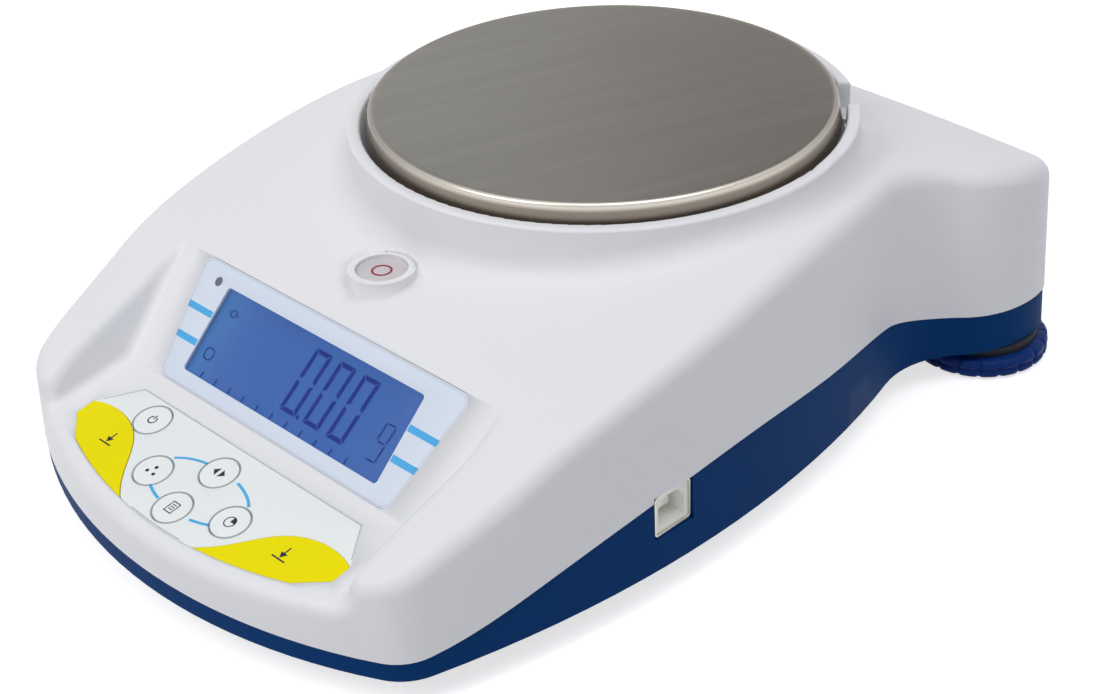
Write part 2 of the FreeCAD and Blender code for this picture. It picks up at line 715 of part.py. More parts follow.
def notch(name, mirrored):
    """Cutter for a gap in the ring wall, turned about the pan's axis."""
    blank = box(name, "ring_wall + ring_gap + ring_blend", "notch_width", "prism_height")
    turn = number("180 - notch_angle" if mirrored else "notch_angle")
    blank.Placement.Rotation = FreeCAD.Rotation(FreeCAD.Vector(0, 0, 1), turn)
    side = "180 - notch_angle" if mirrored else "notch_angle"
    bind(blank, Placement__Rotation__Angle=side)
    reach = "(pan_radius + ring_gap / 2)"
    x = "%s * cos(%s) + notch_width / 2 * sin(%s)" % (reach, side, side)
    y = "pan_y + %s * sin(%s) - notch_width / 2 * cos(%s)" % (reach, side, side)
    return place(blank, x, y, "notch_floor")


notches = [notch("notch_right", ""), notch("notch_left", "-")]


def slope_height(y, start_y, start_z, tilt):
    """Height of a slope at a place along the housing."""
    return start_z + (y - start_y) * math.tan(math.radians(tilt))


def bay_height(y):
    """Height of the bay's two slopes at a place along the housing."""
    keypad_start = (number("keypad_rear_y"), number("keypad_rear_z"), number("keypad_tilt"))
    valley_y = number("display_front_y")
    if y < valley_y:
        return slope_height(y, *keypad_start)
    return slope_height(y, valley_y, slope_height(valley_y, *keypad_start), number("display_tilt"))


def on_bay_foot(spot, way, edge):
    """Edges between the bay's slopes and its side walls."""
    beside = abs(spot.x) > number("bay_half") - number("bay_foot")
    return beside and abs(way.y) > 0.5 and abs(spot.z - bay_height(spot.y)) < 2 * number("film_sunk")


bay_cutter = rounded("bay_cutter", bay_block("bay", "-film_sunk", "0"), "bay_foot", on_bay_foot)
open_form = cut("open_form", ring_rooted, fuse("well_and_bay", well, bay_cutter, *notches))
doc.recompute()


def on_rim(spot, way, edge):
    return abs(spot.z - number("ring_top")) < 0.01


def on_boss_rim(spot, way, edge):
    return abs(spot.z - number("level_top")) < 0.01


def on_bay_rim(spot, way, edge):
    """Upper edges of the bay: its side walls, its front lip and the top behind the display."""
    height = spot.z - bay_height(spot.y)
    along = abs(way.y) > 0.5
    beside = number("bay_half") < abs(spot.x) < number("bay_mouth + bay_round")
    cheek = beside and along and height > number("bay_foot - film_sunk")
    across = abs(way.x) > 0.3 and abs(height) < number("bay_slack")
    lip = across and spot.y < number("keypad_rear_y - film_front_side * cos(keypad_tilt)")
    middle = abs(spot.x) < number("bay_half")
    brow = across and middle and spot.y > number("display_front_y + film_side_start")
    return (cheek or lip or brow) and spot.y < number("level_y - level_boss")


rimmed = rounded("rimmed", open_form, "ring_round", on_rim)
browed = rounded("browed", rimmed, "bay_round", on_bay_rim)



# Top cover: hollow, with the deck, the bay's floor, the level's cup and the bosses left standing
def at_joins(make, name):
    """One piece at each of the six housing screws."""
    pieces = []
    for spot in ("front", "mid", "rear"):
        for side, sign in (("right", ""), ("left", "-")):
            label = "%s_%s_%s" % (name, spot, side)
            pieces.append(make(label, "%sjoin_%s_x" % (sign, spot), "join_%s_y" % spot))
    return pieces


def tall_post(name, radius, x, y, z):
    return cylinder(name, radius, "prism_height", x, y, z)


def slope_posts(name, seat, spots, low, high, radius):
    """Round posts under one of the bay's slopes, drawn flat and then seated."""
    posts = [cylinder("%s_%d" % (name, i + 1), radius, "%s - (%s)" % (high, low), x, y, low)
             for i, (x, y) in enumerate(spots)]
    return seat(fuse(name, *posts))


display_screw_x = "display_board_half - post_radius"
display_spots = [(sign + "(" + display_screw_x + ")", y)
                 for sign in ("", "-")
                 for y in ("display_board_low + post_radius", "display_screw_high")]
keypad_screw_x = "keypad_board_half - post_radius"
keypad_spots = [(sign + "(" + keypad_screw_x + ")", y)
                for sign in ("", "-")
                for y in ("-keypad_board_rear - post_radius", "-keypad_board_front + post_radius")]
glass_top = "film_sunk - wall - lcd_gap"
display_board_top = glass_top + " - lcd_sheet - light_sheet"

inner_walls = side_walls("cover_inner_walls", "wall", "base_bottom")
inner_form = common("inner_form", inner_walls, hood("inner_hood", "wall"))
deck = cylinder("deck", "pan_radius + ring_gap + wall", "prism_height", "0", "pan_y", "well_floor - wall")
level_cup_wall = cylinder("level_cup_wall", "level_boss", "prism_height", "0", "level_y",
                          "level_top - level_depth - wall")
bay_floor = bay_block("bay_floor", "wall - film_sunk", "wall")
display_posts = slope_posts("display_posts", on_display, display_spots, display_board_top, "0",
                            "post_radius")
keypad_posts = slope_posts("keypad_posts", on_keypad, keypad_spots, "-board_drop", "0", "post_radius")
join_posts = at_joins(
    lambda name, x, y: tall_post(name, "join_radius + boss_wall", x, y, "join_boss_top"), "join_post")
kept_inside = fuse("kept_inside", deck, level_cup_wall, bay_floor, display_posts, keypad_posts,
                   *join_posts)
hollow = cut("hollow", inner_form, kept_inside)
shell = cut("shell", browed, hollow)
parting_tool = cut("parting_tool", below_parting, fuse("join_posts", *join_posts))
cover_blank = cut("cover_blank", shell, parting_tool)


# Films and keys: their outlines, drawn flat on their slopes
def bezel_outline(name, grow, low):
    sketch = free_sketch(name, low)
    foot = "bezel_low - (%s)" % grow
    head = "bezel_high + %s" % grow
    right = [("bezel_low_half + " + grow, foot), ("bezel_high_half + " + grow, head)]
    polygon(sketch, right + [("-(%s)" % x, y) for x, y in reversed(right)])
    return sketch


def window_outline(name, grow, low):
    sketch = free_sketch(name, low)
    half = "window_half + %s" % grow
    foot = "window_low - (%s)" % grow
    head = "window_high + %s" % grow
    polygon(sketch, [("-(%s)" % half, foot), (half, foot), (half, head), ("-(%s)" % half, head)])
    return sketch


def film_outline(name, grow, low):
    """Keypad film: straight rear edge, cut corners, short sides and a bowed front."""
    sketch = free_sketch(name, low)
    spots = [("film_half_rear + " + grow, grow), ("film_half + " + grow, "-film_side_start + " + grow),
             ("film_half + " + grow, "-film_side_end - " + grow),
             ("film_front_half + " + grow, "-film_front_side - " + grow)]
    right = [FreeCAD.Vector(number(x), number(y), 0) for x, y in spots]
    left = [FreeCAD.Vector(-spot.x, spot.y, 0) for spot in reversed(right)]
    front = FreeCAD.Vector(0, number("-film_front - " + grow), 0)
    corners = left + right
    sketch.addGeometry([Part.LineSegment(corners[i], corners[i + 1]) for i in range(7)], False)
    sketch.addGeometry(Part.Arc(left[0], front, right[-1]), False)
    for i in range(6):
        sketch.addConstraint(Sketcher.Constraint("Coincident", i, 2, i + 1, 1))
    sketch.addConstraint(Sketcher.Constraint("Coincident", 7, 1, 0, 1))
    sketch.addConstraint(Sketcher.Constraint("Coincident", 7, 2, 6, 2))
    for i, (x, y) in enumerate(spots):
        fixed_point(sketch, 3 + i, 2, x, y)
        fixed_point(sketch, 3 - i, 1, "-(%s)" % x, y)
    bow = "(film_front - film_front_side)"
    bow_radius(sketch, 7, "film_front_half + " + grow, bow)
    return sketch


def tare_outline(name, sign, grow, low):
    """Leaf-shaped tare zone, its inner side a curve and its outer side past the film's edge."""
    sketch = free_sketch(name, low)
    shift = number(grow)
    side = -1 if sign else 1
    spots = []
    for part in ("side", "crest", "bend", "flank", "tip"):
        x = number("tare_%s_x" % part) - shift
        y = shift - number("tare_%s_down" % part)
        spots.append(FreeCAD.Vector(side * x, y, 0))
    curve = Part.BSplineCurve()
    curve.interpolate(spots)
    outer = [FreeCAD.Vector(spots[-1].x, -number("tare_outer"), 0),
             FreeCAD.Vector(side * number("tare_outer"), -number("tare_outer"), 0),
             FreeCAD.Vector(side * number("tare_outer"), spots[0].y, 0)]
    lines = spots[-1:] + outer + spots[:1]
    sketch.addGeometry([curve] + [Part.LineSegment(lines[i], lines[i + 1]) for i in range(4)], False)
    return sketch


def disc(name, x, y, radius, low, high):
    return cylinder(name, radius, "(%s) - (%s)" % (high, low), x, y, low)


oval_keys = [("select_key", "oval_left_angle"), ("mode_key", "oval_rear_angle"),
             ("print_key", "oval_front_angle"), ("percent_key", "oval_right_angle")]
key_spots = [("power_key", "power_key_x", "-power_key_down")]
key_spots += [(name, "oval_x * cos(%s)" % angle, "oval_y * sin(%s) - oval_down" % angle)
              for name, angle in oval_keys]
tare_spots = [("tare_key_right", "tare_stem_x", "-tare_stem_down", ""),
              ("tare_key_left", "-tare_stem_x", "-tare_stem_down", "-")]
stem_spots = key_spots + [(name, x, y) for name, x, y, sign in tare_spots]

# Top cover: recesses, windows and holes
def upright(spot, way, edge):
    return abs(way.z) > 0.9


bezel_recess = rounded("bezel_recess", extrude("bezel_recess_blank", bezel_outline("bezel_recess_plan",
                                                                                   "film_fit", "-bezel_sheet"),
                                               "bezel_sheet + wall"), "bezel_corner + film_fit", upright)
window_hole = extrude("window_hole", window_outline("window_hole_plan", "window_margin + film_fit / 2",
                                                    "-2 * wall"), "4 * wall")
lamp_hole = disc("lamp_hole", "lamp_x", "lamp_up", "lamp_radius + screw_fit", display_board_top, "wall")
screw_top = " + small_screw_length - board_sheet + 4 * screw_fit"
display_pilots = [disc("display_pilot_%d" % (i + 1), x, y, "small_screw + screw_fit",
                       display_board_top + " - screw_fit", display_board_top + screw_top)
                  for i, (x, y) in enumerate(display_spots)]
display_cuts = on_display(fuse("display_cuts", bezel_recess, window_hole, lamp_hole, *display_pilots))

film_recess = extrude("film_recess", film_outline("film_recess_plan", "film_fit", "-film_sheet"),
                      "film_sheet + wall")
key_pockets = [disc(name + "_pocket", x, y, "key_radius + 3 * key_gap",
                    "-film_sheet - key_pocket", "0") for name, x, y in key_spots]
def tare_block(name, sign, film_grow, gap, low, high):
    """Part of the keypad film's area that a tare key takes up."""
    depth = "(%s) - (%s)" % (high, low)
    film = extrude(name + "_film", film_outline(name + "_film_plan", film_grow, low), depth)
    zone = extrude(name + "_zone", tare_outline(name + "_zone_plan", sign, gap, low), depth)
    return common(name, film, zone)


tare_pockets = [tare_block(name + "_pocket", sign, "film_fit", "key_gap", "-film_sheet - key_pocket", "0")
                for name, x, y, sign in tare_spots]
stem_holes = [disc(name + "_stem_hole", x, y, "stem_radius + stem_fit", "-2 * wall", "wall")
              for name, x, y in stem_spots]
keypad_pilots = [disc("keypad_pilot_%d" % (i + 1), x, y, "small_screw + screw_fit",
                      "-board_drop - screw_fit", "-board_drop" + screw_top)
                 for i, (x, y) in enumerate(keypad_spots)]
keypad_cuts = on_keypad(fuse("keypad_cuts", film_recess, *key_pockets, *tare_pockets, *stem_holes,
                             *keypad_pilots))

level_hole = disc("level_bore", "0", "level_y", "level_bore", "level_top - level_depth",
                  "level_top + wall")
hub_hole = disc("hub_hole", "0", "pan_y", "hub_radius + hub_hole_fit", "well_floor - 2 * wall",
                "well_floor + wall")
usb_hole = box("usb_hole", "usb_depth + wall", "usb_width + 2 * usb_fit", "usb_height + 2 * usb_fit",
               "usb_face - usb_depth - usb_fit", "usb_y - usb_width / 2 - usb_fit",
               "usb_low - usb_fit")
join_pilots = at_joins(lambda name, x, y: disc(name, x, y, "join_radius + screw_fit",
                                               "join_boss_top - wall",
                                               "base_bottom + join_head_height + join_length + wall"),
                       "join_pilot")
cover_tools = fuse("cover_tools", display_cuts, keypad_cuts, level_hole, hub_hole, usb_hole,
                   *join_pilots)
node(cut("cover", cover_blank, cover_tools), "top_cover")


# Base: floor, walls, bosses and posts
def both_sides(make, name, x, y):
    return [make(name + "_right", x, y), make(name + "_left", "-" + x, y)]


base_outer = common("base_outer", side_walls("base_walls", "base_step", "base_bottom"), below_parting)
base_inner = side_walls("base_inner_walls", "wall + base_step", "base_bottom + base_floor")
base_shell = cut("base_shell_blank", base_outer, base_inner)
base_posts = at_joins(lambda name, x, y: disc(name, x, y, "join_radius + boss_wall", "base_bottom",
                                              "join_boss_top"), "base_post")
stud_bosses = both_sides(lambda name, x, y: disc(name, x, y, "stud_radius + stud_fit + boss_wall",
                                                 "base_bottom", "stud_top - foot_travel"),
                         "stud_boss", "foot_x", "foot_y")
board_corners = [(x, y) for x in ("board_left + board_hole_inset", "board_right - board_hole_inset")
                 for y in ("board_front + board_hole_inset", "board_rear - board_hole_inset")]
board_posts = [disc("board_post_%d" % (i + 1), x, y, "post_radius", "base_bottom",
                    "usb_low - board_sheet") for i, (x, y) in enumerate(board_corners)]
cell_end_y = "pan_y + cell_length / 2"
cell_bolt_y = ["%s - cell_bolt_inset" % cell_end_y, "%s - cell_bolt_inset - cell_bolt_pitch" % cell_end_y]
free_bolt_y = ["pan_y - cell_length / 2 + cell_bolt_inset",
               "pan_y - cell_length / 2 + cell_bolt_inset + cell_bolt_pitch"]
plinth_length = "2 * cell_bolt_inset + cell_bolt_pitch"
plinth = box("plinth", "cell_width + 2 * wall", plinth_length, "cell_bottom - bracket_gap - base_bottom",
             "-cell_width / 2 - wall", "%s - %s" % (cell_end_y, plinth_length), "base_bottom")
base_blank = fuse("base_blank", base_shell, plinth, *base_posts, *stud_bosses, *board_posts)
stud_bores = both_sides(lambda name, x, y: disc(name, x, y, "stud_radius + stud_fit",
                                                "base_bottom - wall", "stud_top + wall"),
                        "stud_bore", "foot_x", "foot_y")
join_holes = at_joins(lambda name, x, y: disc(name, x, y, "join_radius + bolt_fit",
                                              "base_bottom - wall", "join_boss_top + wall"),
                      "join_hole")
join_sinks = at_joins(lambda name, x, y: disc(name, x, y, "join_head + bolt_fit",
                                              "base_bottom - wall", "base_bottom + join_head_height"),
                      "join_sink")
cell_holes = [disc("cell_hole_%d" % (i + 1), "0", y, "bolt_radius + bolt_fit", "base_bottom - wall",
                   "cell_bottom") for i, y in enumerate(cell_bolt_y)]
cell_sinks = [disc("cell_sink_%d" % (i + 1), "0", y, "bolt_head + bolt_fit", "base_bottom - wall",
                   "base_bottom + bolt_head_height") for i, y in enumerate(cell_bolt_y)]
board_pilots = [disc("board_pilot_%d" % (i + 1), x, y, "small_screw + screw_fit",
                     "usb_low - small_screw_length", "usb_low + wall")
                for i, (x, y) in enumerate(board_corners)]
front_sockets = both_sides(lambda name, x, y: disc(name, x, y, "front_foot_radius + film_fit",
                                                   "base_bottom - wall",
                                                   "base_bottom + front_foot_socket"),
                           "front_socket", "front_foot_x", "front_foot_y")
stop_y = "pan_y - cell_length / 2 + cell_bolt_inset + cell_bolt_pitch / 2"
stop_hole = disc("stop_hole", "0", stop_y, "stop_radius + screw_fit", "base_bottom - wall",
                 "base_bottom + base_floor + wall")
jack_hole = lying_cylinder("jack_hole", "jack_radius + usb_fit", "jack_depth + wall", "Y", "jack_x",
                           "jack_face - jack_depth", "jack_z")
base_tools = fuse("base_tools", usb_hole, jack_hole, stop_hole, *stud_bores, *join_holes, *join_sinks,
                  *cell_holes, *cell_sinks, *board_pilots, *front_sockets)
node(cut("base", base_blank, base_tools), "base_shell")


# PartDesign helpers
def named_edges(shape, wanted):
    return ["Edge%d" % i for i in edges_where(shape, wanted)]


def body_fillet(body, name, base, radius, wanted):
    doc.recompute()
    obj = body.newObject("PartDesign::Fillet", name)
    obj.Base = (base, named_edges(base.Shape, wanted))
    bind(obj, Radius=radius)
    return obj


def own_circle(radius, level):
    """Test for a circle of a body that is drawn about its own Z axis."""
    def wanted(spot, way, edge):
        same_radius = abs(math.hypot(spot.x, spot.y) - number(radius)) < 0.01
        return same_radius and abs(spot.z - number(level)) < 0.01
    return wanted


def through_pocket(body, name, profile):
    """Pocket through the whole body, to both sides of its sketch."""
    pocket = body.newObject("PartDesign::Pocket", name)
    pocket.Profile = profile
    pocket.Type = 1
    pocket.SideType = "Symmetric"
    return pocket


def revolved(body, name, profile):
    turned = body.newObject("PartDesign::Revolution", name)
    turned.Profile = profile
    turned.ReferenceAxis = (profile, ["V_Axis"])
    turned.Angle = 360
    return turned


# Weighing pan: a revolved sheet with a turned-down, slightly flared skirt
pan_body = new_body("weighing_pan_body")
pan_profile = body_sketch(pan_body, "pan_profile", "XZ_Plane")
polygon(pan_profile, [("0", "0"), ("pan_radius", "0"), ("pan_radius + pan_flare", "-pan_skirt"),
                      ("pan_radius + pan_flare - pan_sheet", "-pan_skirt"),
                      ("pan_radius - pan_sheet", "-pan_sheet"), ("0", "-pan_sheet")])
pan_turn = revolved(pan_body, "pan_turn", pan_profile)
place(pan_body, "0", "pan_y", "pan_top")
outer_bend = body_fillet(pan_body, "outer_bend", pan_turn, "pan_bend", own_circle("pan_radius", "0"))
body_fillet(pan_body, "inner_bend", outer_bend, "pan_bend - pan_sheet",
            own_circle("pan_radius - pan_sheet", "-pan_sheet"))
node(pan_body, "weighing_pan")

# Pan support: a spoked disc on a hub
support_radius = "(pan_radius - pan_sheet - pan_fit)"
support_top = "pan_top - pan_sheet - cushion_height"
support_low = support_top + " - support_sheet"
bracket_low = "cell_bottom + cell_height + bracket_gap"
bracket_top = bracket_low + " + bracket_sheet"
support_disc = disc("support_disc", "0", "pan_y", support_radius, support_low, support_top)
spoke_count = int(number("cushion_count"))


def spoke_opening(index):
    """Opening between two spokes: a sector between the hub and the rim."""
    sector = disc("spoke_sector_%d" % index, "0", "pan_y", support_radius + " - support_rim",
                  support_low, support_top)
    turn = "%d * 360 / cushion_count - spoke_half_angle" % index
    sector.Placement.Rotation = FreeCAD.Rotation(FreeCAD.Vector(0, 0, 1), number(turn))
    return bind(sector, Angle="2 * spoke_half_angle")


spoke_core = disc("spoke_core", "0", "pan_y", "2 * hub_radius", support_low, support_top)
sectors = fuse("spoke_sectors", *[spoke_opening(i) for i in range(spoke_count)])
spoked_disc = cut("spoked_disc", support_disc, cut("spoke_openings", sectors, spoke_core))
hub = disc("hub", "0", "pan_y", "hub_radius", bracket_top, support_low)
hub_flange = disc("hub_flange", "0", "pan_y", "bracket_width / 2", bracket_top, bracket_top + " + wall")
hub_bore = disc("hub_bore", "0", "pan_y", "bolt_radius + screw_fit", bracket_low, support_top)
hub_sink = disc("hub_sink", "0", "pan_y", "bolt_head + bolt_fit",
                support_top + " - bolt_head_height - bolt_sunk", support_top)
support_blank = fuse("support_blank", spoked_disc, hub, hub_flange)
node(cut("support", support_blank, fuse("hub_cuts", hub_bore, hub_sink)), "pan_support")


def bolt(name, x, y, seat, reach, size_name="bolt"):
    """Bolt with its head on a seat; a negative reach points down."""
    sign = "-" if reach.startswith("-") else ""
    head = disc(name + "_head", x, y, size_name + "_head", *ordered(seat, "bolt_head_height", sign))
    if sign:
        shank = disc(name + "_shank", x, y, size_name + "_radius", "(%s) - (%s)" % (seat, reach[1:]), seat)
    else:
        shank = disc(name + "_shank", x, y, size_name + "_radius", seat, "(%s) + (%s)" % (seat, reach))
    return fuse(name, head, shank)


def ordered(seat, height, sign):
    """Low and high level of a head that sits on the far side of its shank."""
    if sign:
        return seat, "(%s) + %s" % (seat, height)
    return "(%s) - %s" % (seat, height), seat


hub_seat = support_top + " - bolt_head_height - bolt_sunk"
node(bolt("hub_bolt", "0", "pan_y", hub_seat, "-(%s - (%s))" % (hub_seat, bracket_low)), "pan_support_bolt")


def cushion(index):
    turn = "(%d + 0.5) * 360 / cushion_count" % index
    reach = "(%s - support_rim / 2)" % support_radius
    return disc("cushion_%d" % index, "%s * cos(%s)" % (reach, turn),
                "pan_y + %s * sin(%s)" % (reach, turn), "cushion_radius",
                support_top, support_top + " + cushion_height")


node(group("cushions", *[cushion(i) for i in range(spoke_count)]), "pan_cushions")

# Load cell: a beam with two joined flexure holes, bolted at its rear end
cell_body = new_body("load_cell_body")
cell_profile = body_sketch(cell_body, "cell_profile", "YZ_Plane")
polygon(cell_profile, [("-cell_length / 2", "0"), ("cell_length / 2", "0"),
                       ("cell_length / 2", "cell_height"), ("-cell_length / 2", "cell_height")])
cell_pad = cell_body.newObject("PartDesign::Pad", "cell_pad")
cell_pad.Profile = cell_profile
cell_pad.SideType = "Symmetric"
bind(cell_pad, Length="cell_width")
doc.recompute()
for end, sign in (("front", "-"), ("rear", "")):
    flexure = body_sketch(cell_body, "flexure_%s_circle" % end, "YZ_Plane")
    circle(flexure, sign + "cell_hole_span / 2", "cell_height / 2", "cell_hole")
    through_pocket(cell_body, "flexure_" + end, flexure)
slot = body_sketch(cell_body, "flexure_slot_outline", "YZ_Plane")
polygon(slot, [("-cell_hole_span / 2", "cell_height / 2 - cell_slot / 2"),
               ("cell_hole_span / 2", "cell_height / 2 - cell_slot / 2"),
               ("cell_hole_span / 2", "cell_height / 2 + cell_slot / 2"),
               ("-cell_hole_span / 2", "cell_height / 2 + cell_slot / 2")])
through_pocket(cell_body, "flexure_slot", slot)
bolt_circles = body_sketch(cell_body, "bolt_circles", "XY_Plane")
first_bolt = "cell_length / 2 - cell_bolt_inset"
for spot in (first_bolt, first_bolt + " - cell_bolt_pitch"):
    circle(bolt_circles, "0", spot, "bolt_radius + screw_fit")
    circle(bolt_circles, "0", "-(%s)" % spot, "bolt_radius + screw_fit")
through_pocket(cell_body, "bolt_bores", bolt_circles)
place(cell_body, "0", "pan_y", "cell_bottom")
node(cell_body, "load_cell")

mount_low = "cell_bottom - bracket_gap"
mount_block = box("mount_block", "cell_width", plinth_length, "bracket_gap", "-cell_width / 2",
                  "%s - (%s)" % (cell_end_y, plinth_length), mount_low)
mount_holes = [disc("mount_hole_%d" % (i + 1), "0", y, "bolt_radius + bolt_fit", mount_low, "cell_bottom")
               for i, y in enumerate(cell_bolt_y)]
node(cut("mount", mount_block, fuse("mount_holes", *mount_holes)), "cell_mount")
cell_bolt_seat = "base_bottom + bolt_head_height"
cell_bolt_reach = "cell_bottom + cell_height - wall - (%s)" % cell_bolt_seat
node(group("rear_bolts", *[bolt("rear_bolt_%d" % (i + 1), "0", y, cell_bolt_seat, cell_bolt_reach)
                           for i, y in enumerate(cell_bolt_y)]), "cell_bolts")

bracket_plate = box("bracket_plate", "bracket_width", "cell_length / 2 + bracket_width / 2", "bracket_sheet",
                    "-bracket_width / 2", "pan_y - cell_length / 2", bracket_low)
bracket_pad = box("bracket_pad", "cell_width", plinth_length, "bracket_gap", "-cell_width / 2",
                  "pan_y - cell_length / 2", "cell_bottom + cell_height")
bracket_bores = [disc("bracket_bore_%d" % (i + 1), "0", y, "bolt_radius + screw_fit",
                      "cell_bottom + cell_height", bracket_top)
                 for i, y in enumerate(free_bolt_y + ["pan_y"])]
bracket = cut("bracket", fuse("bracket_blank", bracket_plate, bracket_pad),
              fuse("bracket_bores", *bracket_bores))
node(bracket, "load_bracket")
node(group("front_bolts", *[bolt("front_bolt_%d" % (i + 1), "0", y, bracket_top,
                                 "-(%s - (cell_bottom + wall))" % bracket_top)
                            for i, y in enumerate(free_bolt_y)]), "bracket_bolts")

floor_top = "base_bottom + base_floor"
stop_screw = disc("stop_screw", "0", stop_y, "stop_radius", "base_bottom", "cell_bottom - stop_gap")
nut_blank = doc.addObject("Part::Prism", "nut_blank")
nut_blank.Polygon = 6
bind(nut_blank, Circumradius="nut_radius", Height="nut_height")
place(nut_blank, "0", stop_y, floor_top)
nut_bore = disc("nut_bore", "0", stop_y, "stop_radius + screw_fit", floor_top, floor_top + " + nut_height")
node(group("stop", stop_screw, cut("stop_nut", nut_blank, nut_bore)), "overload_stop")


# Display: film, window, glass, backlight, board and status lamp, drawn flat and then seated
def screw(name, x, y, seat, up):
    """Small screw; its head lies under its seat, or over it if the shank points down."""
    head_low, head_high = ordered(seat, "small_head_height", "" if up else "-")
    shank_low, shank_high = ordered(seat, "small_screw_length", "-" if up else "")
    head = disc(name + "_head", x, y, "small_screw_head", head_low, head_high)
    shank = disc(name + "_shank", x, y, "small_screw", shank_low, shank_high)
    return fuse(name, head, shank)


def plate(name, half, low_y, high_y, low, sheet_size):
    """Flat rectangular plate across the middle line."""
    return box(name, "2 * (%s)" % half, "(%s) - (%s)" % (high_y, low_y), sheet_size,
               "-(%s)" % half, low_y, low)


bezel_film = extrude("bezel_film", bezel_outline("bezel_film_plan", "0", "-bezel_sheet"), "bezel_sheet")
bezel_film = rounded("bezel_film_round", bezel_film, "bezel_corner", upright)
bezel_window = extrude("bezel_window", window_outline("bezel_window_plan", "0", "-bezel_sheet"), "bezel_sheet")
bezel_window = rounded("bezel_window_round", bezel_window, "window_corner", upright)
bezel_lamp = disc("bezel_lamp", "lamp_x", "lamp_up", "lamp_radius + screw_fit", "-bezel_sheet", "0")
node(on_display(cut("bezel", bezel_film, fuse("bezel_cuts", bezel_window, bezel_lamp))), "display_bezel")
window_seat = "-bezel_sheet - window_sheet"
node(on_display(extrude("window", window_outline("window_plan", "window_margin", window_seat),
                        "window_sheet")), "display_window")
glass_half = "window_half + lcd_margin"
glass_foot = "window_low - lcd_margin"
glass_head = "window_high + lcd_margin"
glass = plate("glass", glass_half, glass_foot, glass_head, glass_top + " - lcd_sheet", "lcd_sheet")
node(on_display(group("seated_glass", glass)), "lcd_glass")
backlight = plate("backlight", glass_half, glass_foot, glass_head, display_board_top, "light_sheet")
node(on_display(group("seated_backlight", backlight)), "lcd_backlight")
display_plate = plate("display_plate", "display_board_half", "display_board_low", "display_board_high",
                      display_board_top + " - board_sheet", "board_sheet")
display_holes = [disc("display_hole_%d" % (i + 1), x, y, "small_screw + bolt_fit",
                      display_board_top + " - board_sheet", display_board_top)
                 for i, (x, y) in enumerate(display_spots)]
node(on_display(cut("display_circuit", display_plate, fuse("display_holes", *display_holes))),
     "display_board")
display_screws = [screw("display_screw_%d" % (i + 1), x, y, display_board_top + " - board_sheet", True)
                  for i, (x, y) in enumerate(display_spots)]
node(on_display(group("display_screws", *display_screws)), "display_board_screws")
lamp = disc("lamp", "lamp_x", "lamp_up", "lamp_radius", display_board_top, "0")
node(on_display(group("seated_lamp", lamp)), "status_lens")

# Keypad: film, keys, board, switches and screws, drawn flat and then seated
film_blank = extrude("film_blank", film_outline("film_plan", "0", "-film_sheet"), "film_sheet")
film_holes = [disc(name + "_hole", x, y, "key_radius + key_gap", "-film_sheet", "0")
              for name, x, y in key_spots]
film_zones = [tare_block(name + "_gap", sign, "film_fit", "key_gap", "-film_sheet", "0")
              for name, x, y, sign in tare_spots]
node(on_keypad(cut("film", film_blank, fuse("film_cuts", *film_holes, *film_zones))), "keypad_overlay")
switch_top = "-board_drop + switch_body"
cap_low = "key_proud - key_cap"


def stem(name, x, y):
    return disc(name + "_stem", x, y, "stem_radius", switch_top + " + switch_gap", cap_low)


for name, x, y in key_spots:
    cap_blank = disc(name + "_blank", x, y, "key_radius", cap_low, "key_proud")
    cap = rounded(name + "_cap", cap_blank, "key_round",
                  lambda spot, way, edge: abs(spot.z - number("key_proud")) < 0.01)
    node(on_keypad(fuse(name + "_key", cap, stem(name, x, y))), name)
for name, x, y, sign in tare_spots:
    cap = tare_block(name + "_cap", sign, "0", "0", cap_low, "tare_proud")
    node(on_keypad(fuse(name + "_key", cap, stem(name, x, y))), name)

keypad_outline = free_sketch("keypad_outline", "-board_drop - board_sheet")
half_outline = [("keypad_tongue_half", "-keypad_tongue_front"),
                ("keypad_tongue_half", "-keypad_board_front"),
                ("keypad_board_half", "-keypad_board_front"), ("keypad_board_half", "-keypad_board_rear")]
polygon(keypad_outline, half_outline + [("-" + x, y) for x, y in reversed(half_outline)])
keypad_plate = extrude("keypad_plate", keypad_outline, "board_sheet")
keypad_holes = [disc("keypad_hole_%d" % (i + 1), x, y, "small_screw + bolt_fit", "-board_drop - board_sheet",
                     "-board_drop") for i, (x, y) in enumerate(keypad_spots)]
node(on_keypad(cut("keypad_circuit", keypad_plate, fuse("keypad_holes", *keypad_holes))), "keypad_board")


def switch(name, x, y):
    """Push switch: square body with a round plunger."""
    body_top = switch_top + " - switch_plunger"
    body = box(name + "_switch_body", "switch_side", "switch_side", "switch_body - switch_plunger",
               "%s - switch_side / 2" % x, "%s - switch_side / 2" % y, "-board_drop")
    plunger = disc(name + "_plunger", x, y, "switch_button", body_top, switch_top)
    return fuse(name + "_switch", body, plunger)


node(on_keypad(group("switches", *[switch(name, x, y) for name, x, y in stem_spots])), "key_switches")
keypad_screws = [screw("keypad_screw_%d" % (i + 1), x, y, "-board_drop - board_sheet", True)
                 for i, (x, y) in enumerate(keypad_spots)]
node(on_keypad(group("keypad_screws", *keypad_screws)), "keypad_board_screws")

